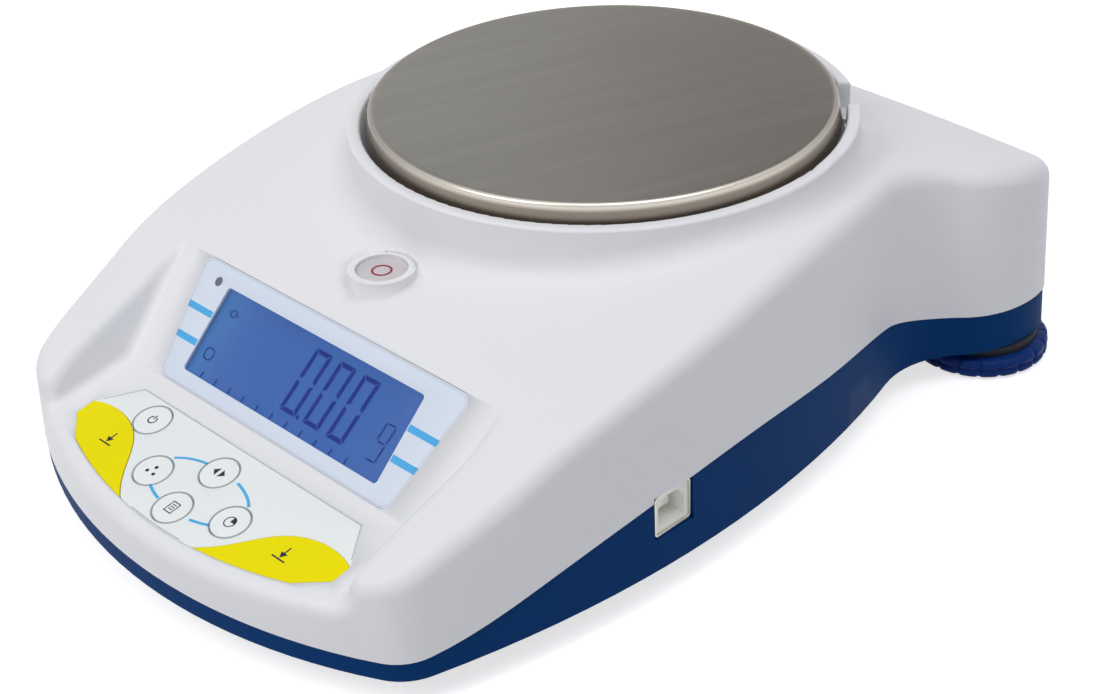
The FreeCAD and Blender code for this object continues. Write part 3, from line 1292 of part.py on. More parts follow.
# Bubble level
lens_top = "level_top - level_sunk"
lens_low = lens_top + " - level_lens"
chamber_low = lens_low + " - level_liquid"
level_radius = "level_bore - level_fit"
vial_blank = disc("vial_blank", "0", "level_y", level_radius, "level_top - level_depth", lens_low)
chamber = disc("chamber", "0", "level_y", "level_chamber", chamber_low, lens_low)
node(cut("vial", vial_blank, chamber), "level_vial")
liquid_blank = disc("liquid_blank", "0", "level_y", "level_chamber", chamber_low, lens_low)
bubble_space = disc("bubble_space", "0", "level_y", "level_bubble", lens_low + " - bubble_height", lens_low)
node(cut("liquid", liquid_blank, bubble_space), "level_fluid")
node(disc("bubble", "0", "level_y", "level_bubble", lens_low + " - bubble_height", lens_low),
     "level_air_bubble")
node(disc("lens", "0", "level_y", level_radius, lens_low, lens_top), "level_glass")
circle_high = lens_top + " + level_print"
circle_blank = disc("circle_blank", "0", "level_y", "level_ring", lens_top, circle_high)
circle_inside = disc("circle_inside", "0", "level_y", "level_ring - level_line", lens_top, circle_high)
node(cut("level_mark", circle_blank, circle_inside), "level_circle")

# Main board with its screws, USB socket and power jack
board_blank = box("board_blank", "board_right - board_left", "board_rear - board_front", "board_sheet",
                  "board_left", "board_front", "usb_low - board_sheet")
board_holes = [disc("board_hole_%d" % (i + 1), x, y, "small_screw + bolt_fit", "usb_low - board_sheet",
                    "usb_low") for i, (x, y) in enumerate(board_corners)]
node(cut("circuit", board_blank, fuse("board_holes", *board_holes)), "main_board")
board_screws = [screw("board_screw_%d" % (i + 1), x, y, "usb_low", False)
                for i, (x, y) in enumerate(board_corners)]
node(group("board_screws", *board_screws), "main_board_screws")


def usb_block(name, inset, low_x, high_x):
    """Block across the USB socket, moved in from the shell's outside."""
    return box(name, "(%s) - (%s)" % (high_x, low_x), "usb_width - 2 * (%s)" % inset,
               "usb_height - 2 * (%s)" % inset, low_x, "usb_y - usb_width / 2 + %s" % inset,
               "usb_low + %s" % inset)


def along_x(spot, way, edge):
    return abs(way.x) > 0.9


usb_rear = "usb_face - usb_depth"
usb_middle = "usb_low + usb_height / 2"
usb_blank = usb_block("usb_blank", "0", usb_rear, "usb_face")
usb_outside = rounded("usb_outside", usb_blank, "usb_corner", along_x)
usb_space = usb_block("usb_space", "usb_sheet", usb_rear + " + usb_sheet", "usb_face")
usb_inside = rounded("usb_inside", usb_space,
                     "usb_corner - usb_sheet", along_x)
node(cut("usb_can", usb_outside, usb_inside), "usb_shell")
core_blank = rounded("core_blank", usb_block("usb_filling", "usb_sheet", usb_rear + " + usb_sheet",
                                             "usb_face - usb_core_sunk"), "usb_corner - usb_sheet", along_x)
house = side_sketch("usb_house", "usb_face - usb_core_sunk - usb_cavity")
house_half = "usb_opening_width / 2"
house_low = usb_middle + " - usb_opening_height / 2"
house_high = usb_middle + " + usb_opening_height / 2"
polygon(house, [("usb_y - " + house_half, house_low), ("usb_y + " + house_half, house_low),
                ("usb_y + " + house_half, house_high + " - usb_chamfer"),
                ("usb_y + %s - usb_chamfer" % house_half, house_high),
                ("usb_y - %s + usb_chamfer" % house_half, house_high),
                ("usb_y - " + house_half, house_high + " - usb_chamfer")])
node(cut("usb_body", core_blank, extrude("usb_opening", house, "usb_cavity")), "usb_core")
node(box("tongue", "tongue_length", "tongue_width", "tongue_height",
         "usb_face - usb_core_sunk - usb_cavity", "usb_y - tongue_width / 2",
         usb_middle + " - tongue_height / 2"), "usb_tongue")

jack_block = box("jack_block", "jack_body", "jack_depth - wall - jack_gap", "2 * (jack_z - (%s))" % floor_top,
                 "jack_x - jack_body / 2", "jack_face - jack_depth", floor_top)
jack_barrel = lying_cylinder("jack_barrel", "jack_radius", "jack_depth", "Y", "jack_x",
                             "jack_face - jack_depth", "jack_z")
jack_mouth = lying_cylinder("jack_opening", "jack_bore", "jack_depth - jack_floor", "Y", "jack_x",
                           "jack_face - jack_depth + jack_floor", "jack_z")
jack_contact = lying_cylinder("jack_contact", "jack_pin", "jack_depth - jack_floor", "Y", "jack_x",
                          "jack_face - jack_depth", "jack_z")
jack_shell = cut("jack_shell", fuse("jack_outside", jack_block, jack_barrel), jack_mouth)
node(fuse("jack", jack_shell, jack_contact), "power_jack")

# Feet
scallops = int(number("scallop_count"))


def levelling_foot(side, sign):
    """Scalloped disc with its stud, collar and rubber pad."""
    x = sign + "foot_x"
    body = new_body("foot_disc_body_" + side)
    outline = body_sketch(body, "foot_outline_" + side, "XY_Plane")
    circle(outline, "0", "0", "foot_radius")
    pad = body.newObject("PartDesign::Pad", "foot_round_pad_" + side)
    pad.Profile = outline
    bind(pad, Length="foot_disc")
    doc.recompute()
    recess_outline = body_sketch(body, "foot_recess_outline_" + side, "XY_Plane")
    circle(recess_outline, "0", "0", "pad_radius + pad_fit")
    recess = body.newObject("PartDesign::Pocket", "foot_recess_pocket_" + side)
    recess.Profile = recess_outline
    recess.Reversed = True
    bind(recess, Length="foot_recess")
    bore_outline = body_sketch(body, "foot_bore_outline_" + side, "XY_Plane")
    circle(bore_outline, "0", "0", "stud_radius + screw_fit")
    through_pocket(body, "foot_bore_" + side, bore_outline)
    scallop_outline = body_sketch(body, "scallop_outline_" + side, "XY_Plane")
    circle(scallop_outline, "foot_radius + scallop_radius - scallop_depth", "0", "scallop_radius")
    scallop = through_pocket(body, "scallop_" + side, scallop_outline)
    doc.recompute()
    grip = body.newObject("PartDesign::PolarPattern", "grip_" + side)
    grip.Originals = [scallop]
    grip.Axis = (scallop_outline, ["N_Axis"])
    grip.Angle = 360
    grip.Occurrences = scallops
    body.Tip = grip
    place(body, x, "foot_y", "foot_low")
    node(body, "foot_disc_" + side)
    stud_low = "foot_low + foot_recess"
    node(disc("stud_" + side, x, "foot_y", "stud_radius", stud_low, "stud_top"), "foot_stud_" + side)
    collar_low = "foot_low + foot_disc"
    collar_blank = disc("collar_blank_" + side, x, "foot_y", "collar_radius", collar_low,
                        "base_bottom - collar_gap")
    collar_bore = disc("collar_bore_" + side, x, "foot_y", "stud_radius + screw_fit", collar_low,
                       "base_bottom")
    node(cut("collar_" + side, collar_blank, collar_bore), "foot_collar_" + side)
    pad_top = "foot_low + foot_recess - pad_fit"
    node(disc("rubber_" + side, x, "foot_y", "pad_radius", "0", pad_top), "foot_pad_" + side)


for side, sign in (("right", ""), ("left", "-")):
    levelling_foot(side, sign)
    foot_blank = disc("front_foot_blank_" + side, sign + "front_foot_x", "front_foot_y",
                      "front_foot_radius", "0", "base_bottom + front_foot_socket")
    node(rounded("front_foot_form_" + side, foot_blank, "front_foot_round",
                 lambda spot, way, edge: abs(spot.z) < 0.01), "front_foot_" + side)

join_seat = "base_bottom + join_head_height"


def housing_screw(name, x, y):
    head = disc(name + "_head", x, y, "join_head", "base_bottom", join_seat)
    shank = disc(name + "_shank", x, y, "join_radius", join_seat, join_seat + " + join_length")
    return fuse(name, head, shank)


node(group("housing_screw_set", *at_joins(housing_screw, "housing_screw")), "housing_screws")

# Check every object, then write one STEP file per sub-part
doc.recompute()
for item in doc.Objects:
    if "Invalid" in item.State or "Error" in item.State:
        raise RuntimeError("%s is %s" % (item.Name, item.State))
os.makedirs("parts", exist_ok=True)
for item in nodes:
    if item.Shape.isNull() or not item.Shape.isValid():
        raise RuntimeError("%s has no valid shape" % item.Label)
    item.Shape.exportStep("parts/%s.step" % item.Label)
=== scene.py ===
"""Looks of a compact balance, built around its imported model. Metres, Z up, the keypad towards -Y."""
import json
import math

import bmesh
import bpy
from mathutils import Matrix, Vector

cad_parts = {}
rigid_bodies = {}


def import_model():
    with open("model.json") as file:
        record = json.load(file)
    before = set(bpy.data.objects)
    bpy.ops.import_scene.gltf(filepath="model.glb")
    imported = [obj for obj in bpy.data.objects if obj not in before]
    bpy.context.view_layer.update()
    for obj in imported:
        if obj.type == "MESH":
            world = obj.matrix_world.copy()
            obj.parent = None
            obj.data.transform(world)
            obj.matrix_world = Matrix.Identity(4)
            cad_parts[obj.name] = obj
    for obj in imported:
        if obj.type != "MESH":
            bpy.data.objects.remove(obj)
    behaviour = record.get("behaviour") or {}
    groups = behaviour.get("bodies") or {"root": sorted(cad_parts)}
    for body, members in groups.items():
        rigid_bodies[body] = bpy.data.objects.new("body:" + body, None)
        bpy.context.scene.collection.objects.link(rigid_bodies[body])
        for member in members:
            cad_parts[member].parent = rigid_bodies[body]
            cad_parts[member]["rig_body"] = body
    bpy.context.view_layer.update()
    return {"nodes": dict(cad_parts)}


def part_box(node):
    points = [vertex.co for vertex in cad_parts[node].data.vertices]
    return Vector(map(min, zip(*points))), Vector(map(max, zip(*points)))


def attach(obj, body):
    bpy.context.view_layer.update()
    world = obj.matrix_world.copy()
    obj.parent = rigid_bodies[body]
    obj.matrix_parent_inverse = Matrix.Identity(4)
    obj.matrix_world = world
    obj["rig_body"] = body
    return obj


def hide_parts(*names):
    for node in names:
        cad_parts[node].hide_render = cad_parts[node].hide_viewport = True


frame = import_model()
MM = 0.001
scene = bpy.context.scene
scene.view_settings.view_transform = "Standard"

# Slopes of the front bay, the films on them, and the ink on the films
KEYPAD_TILT = math.radians(10.3)
DISPLAY_TILT = math.radians(43.7)
KEYPAD_FILM = 0.5 * MM
DISPLAY_FILM = 0.6 * MM
DISPLAY_FILM_FOOT = 0.9 * MM
WINDOW_HALF = 36.6 * MM
GLASS_DEPTH = 2.15 * MM
PRINT = 0.03 * MM
PRINT_ROOT = -0.02 * MM

# Pan, its brushing, and the turn along which its painted shade sinks from side to side, which also sets
# where its painted highlight is brightest
BRUSH_TURN = math.radians(71)
PAINTED_LIGHT_TURN = math.radians(46.9)
PAN_CENTRE = Vector((0, 31 * MM, 78 * MM))
PAN_EDGE = 58.4 * MM
BEAD_FOOT = 2.2 * MM
BEAD_CREST = 0.9 * MM

# Pan sheet's outline, in mm
BEAD_CENTRE, BEAD_RADIUS, PAN_SHEET = 59.2, 0.95, 0.8

# Display: digits, marks and ticks on the glass, and the line along the film's edge
LEAN = 0.083
SEGMENT_HEIGHT = 0.05 * MM
DIGIT_WIDE, DIGIT_TALL = 5.85 * MM, 17.0 * MM
DIGIT_STROKE, DIGIT_GAP = 1.15 * MM, 0.22 * MM
DIGIT_FOOT = 8.4 * MM
DIGIT_STARTS = (-3.4 * MM, 5.3 * MM, 14.0 * MM)
UNIT_WIDE, UNIT_TALL = 3.5 * MM, 9.8 * MM
UNIT_STROKE, UNIT_GAP = 0.42 * MM, 0.3 * MM
UNIT_START, UNIT_FOOT = 27.9 * MM, 8.6 * MM
STEADY_SIGN = (-32.6 * MM, 22.6 * MM)
TICK_COUNT = 11
TICK_FOOT = 5.85 * MM
EDGE_FOOT_HALF, EDGE_HEAD_HALF = 42.7 * MM, 48.7 * MM
EDGE_FOOT, EDGE_HEAD = 1.3 * MM, 32.2 * MM
EDGE_ROUND = 2.8 * MM
EDGE_WIDTH = 0.2 * MM

# Stripes on the display film, in mm: foot and head of a row, then side, inner end and outer end
STRIPE_ROWS = ((18.85, 20.55), (11.05, 12.8))
STRIPE_SIDES = ((-1, 36.9, 46.2), (1, 36.9, 46.6))
STRIPE_SPREAD, STRIPE_MIDDLE = 0.19, 18.6

# Keypad: places of the round keys' centres, in mm on the slope, and the lines round them
KEY_RISE = 0.1 * MM
KEYS = {"power_key": (-30.2, -6.2), "select_key": (-15.0, -17.33), "mode_key": (-0.54, -8.4),
        "print_key": (-0.54, -22.4), "percent_key": (15.0, -17.33)}
KEY_RING, KEY_RING_WIDTH = 5.08 * MM, 0.32 * MM
TARE_SIGN = (33.6 * MM, -16.6 * MM)
TARE_STROKE = 0.4 * MM
SIGN_LOW, SIGN_HIGH = KEY_RISE + PRINT_ROOT, KEY_RISE + PRINT
LINK_OVAL = (0.2 * MM, -15.3 * MM, 16.5 * MM)
LINK_SQUEEZE = 7.7 / 16.5
LINK_ARCS = ((109, 151), (28, 69), (-69, -37), (214, 248))
LINK_WIDTH = 0.75 * MM
FILM_REAR_HALF = 41.5 * MM
FILM_SIDE = (47.9 * MM, -8.5 * MM)
FILM_FRONT = -28.5 * MM
FILM_FRONT_RADIUS = 128.2 * MM
FILM_FRONT_ARC = (265.8, 274.2)
FILM_LINE_INSET, FILM_LINE_WIDTH = 0.25 * MM, 0.24 * MM

# Levelling discs
FOOT_RADIUS = 18.46 * MM
FOOT_LOBES = 20
FOOT_DIP = 0.6 * MM
STUD_BORE = 3.05 * MM
PAD_SEAT, PAD_SEAT_DEPTH = 12.6 * MM, 0.9 * MM

# Screws: shares of the head's radius for the drives, and of the shank's radius for the thread
CROSS_REACH, CROSS_WIDTH = 0.62, 0.17
HEX_REACH = 0.52
THREAD_PITCH, THREAD_CORE, SCREW_TIP = 0.28, 0.86, 0.7
SCREW_TWIST = math.radians(20)

# Clean-up of the meshes, and the angle in degrees up to which an edge is shaded smooth
WELD = 0.002 * MM
SLIVER = 0.001 * MM
SMOOTH = 32


def srgb(red, green, blue):
    """Linear colour from 0 to 255 screen values."""
    def linear(value):
        share = value / 255
        return share / 12.92 if share <= 0.04045 else ((share + 0.055) / 1.055) ** 2.4
    return (linear(red), linear(green), linear(blue), 1.0)


# Shader and geometry expressions
class Wire:
    """A node's output that adds Math nodes when it is used in an expression."""

    def __init__(self, tree, socket):
        self.tree = tree
        self.socket = socket

    def math(self, operation, first, second):
        made = self.tree.nodes.new("ShaderNodeMath")
        made.operation = operation
        for slot, value in enumerate((first, second)):
            if isinstance(value, Wire):
                self.tree.links.new(value.socket, made.inputs[slot])
            else:
                made.inputs[slot].default_value = value
        return Wire(self.tree, made.outputs[0])

    def __add__(self, other):
        return self.math("ADD", self, other)

    __radd__ = __add__

    def __sub__(self, other):
        return self.math("SUBTRACT", self, other)

    def __rsub__(self, other):
        return self.math("SUBTRACT", other, self)

    def __mul__(self, other):
        return self.math("MULTIPLY", self, other)

    __rmul__ = __mul__

    def __pow__(self, other):
        return self.math("POWER", self, other)


class Nodes:
    """Adds nodes to a tree: settings first, then the values or links of the sockets."""

    def __init__(self, tree):
        self.tree = tree

    def add(self, kind, settings=None, sockets=None, out=0):
        made = self.tree.nodes.new(kind)
        for name, value in (settings or {}).items():
            if name == "stops":
                self.set_stops(made.color_ramp, value)
            else:
                setattr(made, name, value)
        for name, value in (sockets or {}).items():
            if isinstance(value, Wire):
                self.tree.links.new(value.socket, made.inputs[name])
            else:
                made.inputs[name].default_value = value
        return Wire(self.tree, made.outputs[out])

    @staticmethod
    def set_stops(ramp, stops):
        while len(ramp.elements) < len(stops):
            ramp.elements.new(0.5)
        for element, (place, colour) in zip(ramp.elements, stops):
            element.position = place
            element.color = colour


class Finish(Nodes):
    """A material: patterns on Object coordinates that feed one principled shader."""

    def __init__(self, name):
        self.material = bpy.data.materials.new(name)
        self.material.use_nodes = True
        super().__init__(self.material.node_tree)
        self.tree.nodes.clear()

    def spot(self):
        """Object coordinates, in metres."""
        return self.add("ShaderNodeTexCoord", out="Object")

    def along(self, axis):
        """One of the Object coordinates."""
        return self.add("ShaderNodeSeparateXYZ", {}, {"Vector": self.spot()}, out=axis)

    def stretched(self, turn, along, across):
        """Flat coordinates turned by an angle, with their own scale along and across it."""
        x, y = self.along("X"), self.along("Y")
        length = (x * math.cos(turn) + y * math.sin(turn)) * along
        width = (y * math.cos(turn) - x * math.sin(turn)) * across
        return self.add("ShaderNodeCombineXYZ", {}, {"X": length, "Y": width})

    def noise(self, scale, detail=2.0, roughness=0.5, spot=None):
        sockets = {"Scale": scale, "Detail": detail, "Roughness": roughness}
        sockets["Vector"] = spot or self.spot()
        return self.add("ShaderNodeTexNoise", {}, sockets)

    def mix(self, share, first, second):
        made = self.tree.nodes.new("ShaderNodeMix")
        made.data_type = "RGBA"
        for slot, value in ((0, share), (6, first), (7, second)):
            if isinstance(value, Wire):
                self.tree.links.new(value.socket, made.inputs[slot])
            else:
                made.inputs[slot].default_value = value
        return Wire(self.tree, made.outputs[2])

    def bump(self, height, strength, distance):
        return self.add("ShaderNodeBump", {}, {"Height": height, "Strength": strength,
                                               "Distance": distance})

    def steps(self, value, low, high):
        """Smooth step from 0 to 1 between two values."""
        return self.add("ShaderNodeMapRange", {"interpolation_type": "SMOOTHSTEP"},
                        {"Value": value, "From Min": low, "From Max": high})

    def done(self, sockets):
        shader = self.add("ShaderNodeBsdfPrincipled", {}, sockets)
        output = self.tree.nodes.new("ShaderNodeOutputMaterial")
        self.tree.links.new(shader.socket, output.inputs["Surface"])
        return self.material


# Finishes
def toned(colour, share):
    """The colour with its light scaled."""
    return tuple(share * part for part in colour[:3]) + (1.0,)


def moulded(name, colour, roughness, gloss=0.5):
    """Moulded plastic with a fine spark texture and a faint drift of tone."""
    finish = Finish(name)
    drift = finish.noise(9.0, 2.0)
    shade = finish.mix(drift, colour, toned(colour, 0.955))
    skin = finish.noise(1400.0, 3.0, 0.6)
    return finish.done({"Base Color": shade, "Roughness": roughness - 0.04 + 0.08 * skin,
                        "Normal": finish.bump(skin, 0.10, 0.02 * MM), "Specular IOR Level": gloss})


def printed(name, colour, roughness=0.35):
    """Screen-printed ink with a slightly uneven tone."""
    finish = Finish(name)
    speckle = finish.noise(2600.0, 2.0)
    shade = finish.mix(speckle * 0.5, colour, toned(colour, 0.93))
    return finish.done({"Base Color": shade, "Roughness": roughness + 0.05 * speckle,
                        "Specular IOR Level": 0.15})


def film(name, colour, tint, roughness=0.3, gloss=0.25):
    """Printed polyester film with a faint drift of tone and a fine, even texture."""
    finish = Finish(name)
    wash = finish.noise(22.0, 1.0)
    tooth = finish.noise(3200.0, 2.0)
    shade = finish.mix(wash, colour, tint)
    return finish.done({"Base Color": shade, "Roughness": roughness + 0.08 * tooth,
                        "Specular IOR Level": gloss, "Normal": finish.bump(tooth, 0.06, 0.01 * MM)})


def metal(name, colour, roughness, scratch=0.08):
    """Plated or machined metal with a fine haze."""
    finish = Finish(name)
    haze = finish.noise(650.0, 3.0)
    shade = finish.mix(haze, colour, toned(colour, 0.86))
    return finish.done({"Base Color": shade, "Metallic": 1.0, "Roughness": roughness + 0.12 * haze,
                        "Normal": finish.bump(haze, scratch, 0.01 * MM)})


def brushed_pan(name, centre):
    """Stainless sheet brushed one way, its steel painted dark as a painted reflection and its tone sinking
    from side to side as painted shade, with a brighter, smoother rim that carries a painted highlight.
    """
    finish = Finish(name)
    long_lines = finish.noise(1.0, 4.0, 0.7, finish.stretched(BRUSH_TURN, 14.0, 2200.0))
    broad_lines = finish.noise(1.0, 2.0, 0.5, finish.stretched(BRUSH_TURN, 6.0, 160.0))
    clouds = finish.noise(14.0, 2.0)
    across = finish.along("X") - centre.x
    depth = finish.along("Y") - centre.y
    reach = (across * across + depth * depth) ** 0.5
    edge = finish.steps(reach, PAN_EDGE, PAN_EDGE + 1.0 * MM)
    # Painted shade: the steel sinks in tone from the -X -Y side to the +X +Y side.
    sideways = across * math.cos(PAINTED_LIGHT_TURN) + depth * math.sin(PAINTED_LIGHT_TURN)
    tone = finish.steps(sideways, -PAN_EDGE, PAN_EDGE)
    # These steel colours are painted dark as a painted reflection of dark surroundings.
    dark = finish.mix(tone, srgb(121, 119, 115), srgb(96, 92, 87))
    pale = finish.mix(tone, srgb(135, 133, 128), srgb(110, 106, 101))
    lines = long_lines * 0.5 + broad_lines * 0.3 + clouds * 0.2
    top = finish.mix(finish.steps(lines, 0.3, 0.7), dark, pale)
    # Painted highlight on the rim: the bead's crest is painted brighter than the skirt below it, which is in
    # painted shade, and brightest on the side towards +X -Y.
    bead = finish.steps(finish.along("Z"), centre.z - BEAD_FOOT, centre.z - BEAD_CREST)
    forward = across * math.sin(PAINTED_LIGHT_TURN) - depth * math.cos(PAINTED_LIGHT_TURN)
    painted_front_highlight = finish.mix(finish.steps(forward, 10 * MM, PAN_EDGE), srgb(150, 143, 134), srgb(200, 194, 184))
    rim_painted_light = finish.mix(bead, srgb(130, 122, 112), painted_front_highlight)
    shade = finish.mix(edge, top, rim_painted_light)
    grooves = long_lines * (1.0 - edge)
    rough = 0.32 + 0.16 * grooves - 0.06 * edge
    return finish.done({"Base Color": shade, "Metallic": 1.0, "Roughness": rough,
                        "Normal": finish.bump(grooves, 0.12, 0.01 * MM)})


def lit_display(name):
    """Backlit display: even blue, with a painted highlight that makes its glow and its colour paler towards
    its left edge.
    """
    finish = Finish(name)
    across = finish.along("X")
    # Painted highlight: paler towards the left edge of the window.
    glow = 1.0 - finish.steps(across, -WINDOW_HALF, -WINDOW_HALF + 16 * MM)
    cloud = finish.noise(60.0, 1.0)
    blue = finish.mix(cloud, srgb(66, 109, 184), srgb(76, 119, 194))
    shade = finish.mix(glow * glow * 0.55, blue, srgb(96, 150, 208))
    return finish.done({"Base Color": finish.mix(0.8, shade, srgb(20, 30, 60)), "Emission Color": shade,
                        "Emission Strength": 0.62, "Roughness": 0.25, "Specular IOR Level": 0.1})


def clear(name, colour, alpha):
    """Clear moulded window: mostly seen through, with its own gloss."""
    finish = Finish(name)
    ripple = finish.noise(120.0, 1.0)
    return finish.done({"Base Color": colour, "Roughness": 0.06 + 0.03 * ripple, "Alpha": alpha,
                        "Specular IOR Level": 0.2})


def rubber(name, colour):
    """Dull rubber with a little dust in its grain."""
    finish = Finish(name)
    dust = finish.noise(800.0, 4.0)
    shade = finish.mix(dust, colour, toned(colour, 1.6))
    return finish.done({"Base Color": shade, "Roughness": 0.72 + 0.16 * dust,
                        "Normal": finish.bump(dust, 0.25, 0.02 * MM)})


def circuit(name):
    """Green solder mask, paler over the copper under it."""
    finish = Finish(name)
    blocks = finish.add("ShaderNodeTexBrick", {}, {"Vector": finish.spot(), "Scale": 130.0,
                                                   "Mortar Size": 0.05})
    grain = finish.noise(900.0, 2.0)
    shade = finish.mix(blocks * 0.5, srgb(16, 82, 44), srgb(30, 108, 60))
    return finish.done({"Base Color": shade, "Roughness": 0.3 + 0.1 * grain, "Coat Weight": 0.4})


def liquid(name, colour):
    """Tinted liquid, half seen through."""
    finish = Finish(name)
    swirl = finish.noise(300.0, 1.0)
    return finish.done({"Base Color": colour, "Roughness": 0.05 + 0.02 * swirl, "Alpha": 0.45})


# Meshes
def keep_mesh(name, mesh, finish, body, smooth=SMOOTH):
    """Make an object of a mesh, shaded smooth up to an angle, painted and riding on its body."""
    data = bpy.data.meshes.new(name)
    mesh.to_mesh(data)
    mesh.free()
    data.materials.append(finish)
    data.shade_smooth()
    data.set_sharp_from_angle(angle=math.radians(smooth))
    made = bpy.data.objects.new(name, data)
    scene.collection.objects.link(made)
    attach(made, body)
    return made


def body_of_node(node):
    return frame["nodes"][node]["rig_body"]


def merged_copy(node):
    """The node's mesh with its loose triangles joined."""
    mesh = bmesh.new()
    mesh.from_mesh(frame["nodes"][node].data)
    bmesh.ops.remove_doubles(mesh, verts=mesh.verts, dist=WELD)
    bmesh.ops.dissolve_degenerate(mesh, edges=mesh.edges, dist=SLIVER)
    return mesh


def dress(node, finish, bevel=0.0, smooth=SMOOTH):
    """Stand a smooth-shaded, edge-rounded copy in for a node."""
    made = keep_mesh(node + "_skin", merged_copy(node), finish, body_of_node(node), smooth)
    if bevel:
        rounding = made.modifiers.new("edge_rounding", "BEVEL")
        rounding.width = bevel
        rounding.segments = 2
        rounding.limit_method = "ANGLE"
        rounding.angle_limit = math.radians(smooth)
        rounding.use_clamp_overlap = True
        rounding.harden_normals = False
        bake_modifiers(made, smooth)
    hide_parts(node)
    return made


def bake_modifiers(made, smooth=SMOOTH):
    """Turn an object's modifiers into its plain mesh."""
    depsgraph = bpy.context.evaluated_depsgraph_get()
    data = bpy.data.meshes.new_from_object(made.evaluated_get(depsgraph))
    made.modifiers.clear()
    data.name = made.name
    data.shade_smooth()
    data.set_sharp_from_angle(angle=math.radians(smooth))
    made.data = data


def lathe(profile, centre, steps=96, wobble=None):
    """Turn a closed profile of (radius, height) points about an upright axis."""
    mesh = bmesh.new()
    rings = []
    for step in range(steps):
        angle = 2 * math.pi * step / steps
        ring = []
        for radius, height in profile:
            reach = radius + (wobble(radius, height, angle) if wobble else 0.0)
            spot = centre + Vector((reach * math.cos(angle), reach * math.sin(angle), height))
            ring.append(mesh.verts.new(spot))
        rings.append(ring)
    count = len(profile)
    for step in range(steps):
        ring, following = rings[step], rings[(step + 1) % steps]
        for i in range(count):
            j = (i + 1) % count
            mesh.faces.new((ring[i], following[i], following[j], ring[j]))
    bmesh.ops.remove_doubles(mesh, verts=mesh.verts, dist=SLIVER)
    bmesh.ops.recalc_face_normals(mesh, faces=mesh.faces)
    return mesh


# Flat shapes on a slope
class Slope:
    """A tilted flat face: u across, v up the slope, w out of it."""

    def __init__(self, start, tilt):
        self.start = Vector(start)
        self.tilt = tilt
        self.up = Vector((0, math.cos(tilt), math.sin(tilt)))
        self.out = Vector((0, -math.sin(tilt), math.cos(tilt)))

    def place(self, u, v, w=0.0):
        return self.start + Vector((u, 0, 0)) + self.up * v + self.out * w


def keypad_slope():
    """The keypad film's face, from the rear top edge of its node."""
    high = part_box("keypad_overlay")[1]
    return Slope((0, high.y - KEYPAD_FILM * math.sin(KEYPAD_TILT), high.z), KEYPAD_TILT)


def display_slope():
    """The display film's face, from the foot of its node."""
    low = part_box("display_bezel")[0]
    foot = Vector((0, low.y, low.z + DISPLAY_FILM * math.cos(DISPLAY_TILT)))
    up = Vector((0, math.cos(DISPLAY_TILT), math.sin(DISPLAY_TILT)))
    return Slope(foot - up * DISPLAY_FILM_FOOT, DISPLAY_TILT)


keypad = keypad_slope()
display = display_slope()


def band(mesh, slope, left, right, low, high, closed=False):
    """Thin solid strip between two lines of (u, v) points."""
    rows = []
    for (lu, lv), (ru, rv) in zip(left, right):
        rows.append([mesh.verts.new(slope.place(lu, lv, high)), mesh.verts.new(slope.place(ru, rv, high)),
                     mesh.verts.new(slope.place(ru, rv, low)), mesh.verts.new(slope.place(lu, lv, low))])
    pairs = list(zip(rows, rows[1:]))
    if closed:
        pairs.append((rows[-1], rows[0]))
    for here, there in pairs:
        for i in range(4):
            j = (i + 1) % 4
            mesh.faces.new((here[i], here[j], there[j], there[i]))
    if not closed:
        mesh.faces.new(rows[0][::-1])
        mesh.faces.new(rows[-1])


def slab(mesh, slope, outline, low, high):
    """Thin solid with a flat outline of (u, v) points."""
    top = [mesh.verts.new(slope.place(u, v, high)) for u, v in outline]
    bottom = [mesh.verts.new(slope.place(u, v, low)) for u, v in outline]
    mesh.faces.new(top)
    mesh.faces.new(bottom[::-1])
    for i in range(len(outline)):
        j = (i + 1) % len(outline)
        mesh.faces.new((top[i], bottom[i], bottom[j], top[j]))


def offset_line(points, shift, closed=False):
    """The line moved sideways by a shift, its corners mitred."""
    moved = []
    count = len(points)
    for i, (u, v) in enumerate(points):
        before = points[i - 1] if closed or i else points[i]
        after = points[(i + 1) % count] if closed or i < count - 1 else points[i]
        first = Vector((u - before[0], v - before[1])).normalized() if before != (u, v) else None
        second = Vector((after[0] - u, after[1] - v)).normalized() if after != (u, v) else None
        first, second = first or second, second or first
        normal = Vector((-(first.y + second.y), first.x + second.x)).normalized()
        reach = shift / max(0.35, normal.dot(Vector((-first.y, first.x))))
        moved.append((u + normal.x * reach, v + normal.y * reach))
    return moved


def line(mesh, slope, points, width, low, high, closed=False):
    """Thin solid stroke along a line of points."""
    band(mesh, slope, offset_line(points, width / 2, closed), offset_line(points, -width / 2, closed),
         low, high, closed)


def arc(u, v, radius, start, end, steps=24, squeeze=1.0):
    """Points of an arc or an ellipse's arc, in degrees."""
    points = []
    for i in range(steps + 1):
        angle = math.radians(start + (end - start) * i / steps)
        points.append((u + radius * math.cos(angle), v + squeeze * radius * math.sin(angle)))
    return points


def ring_line(mesh, slope, u, v, radius, width, low, high, steps=64):
    """Stroke round a whole circle."""
    line(mesh, slope, arc(u, v, radius, 0, 360, steps)[:-1], width, low, high, closed=True)


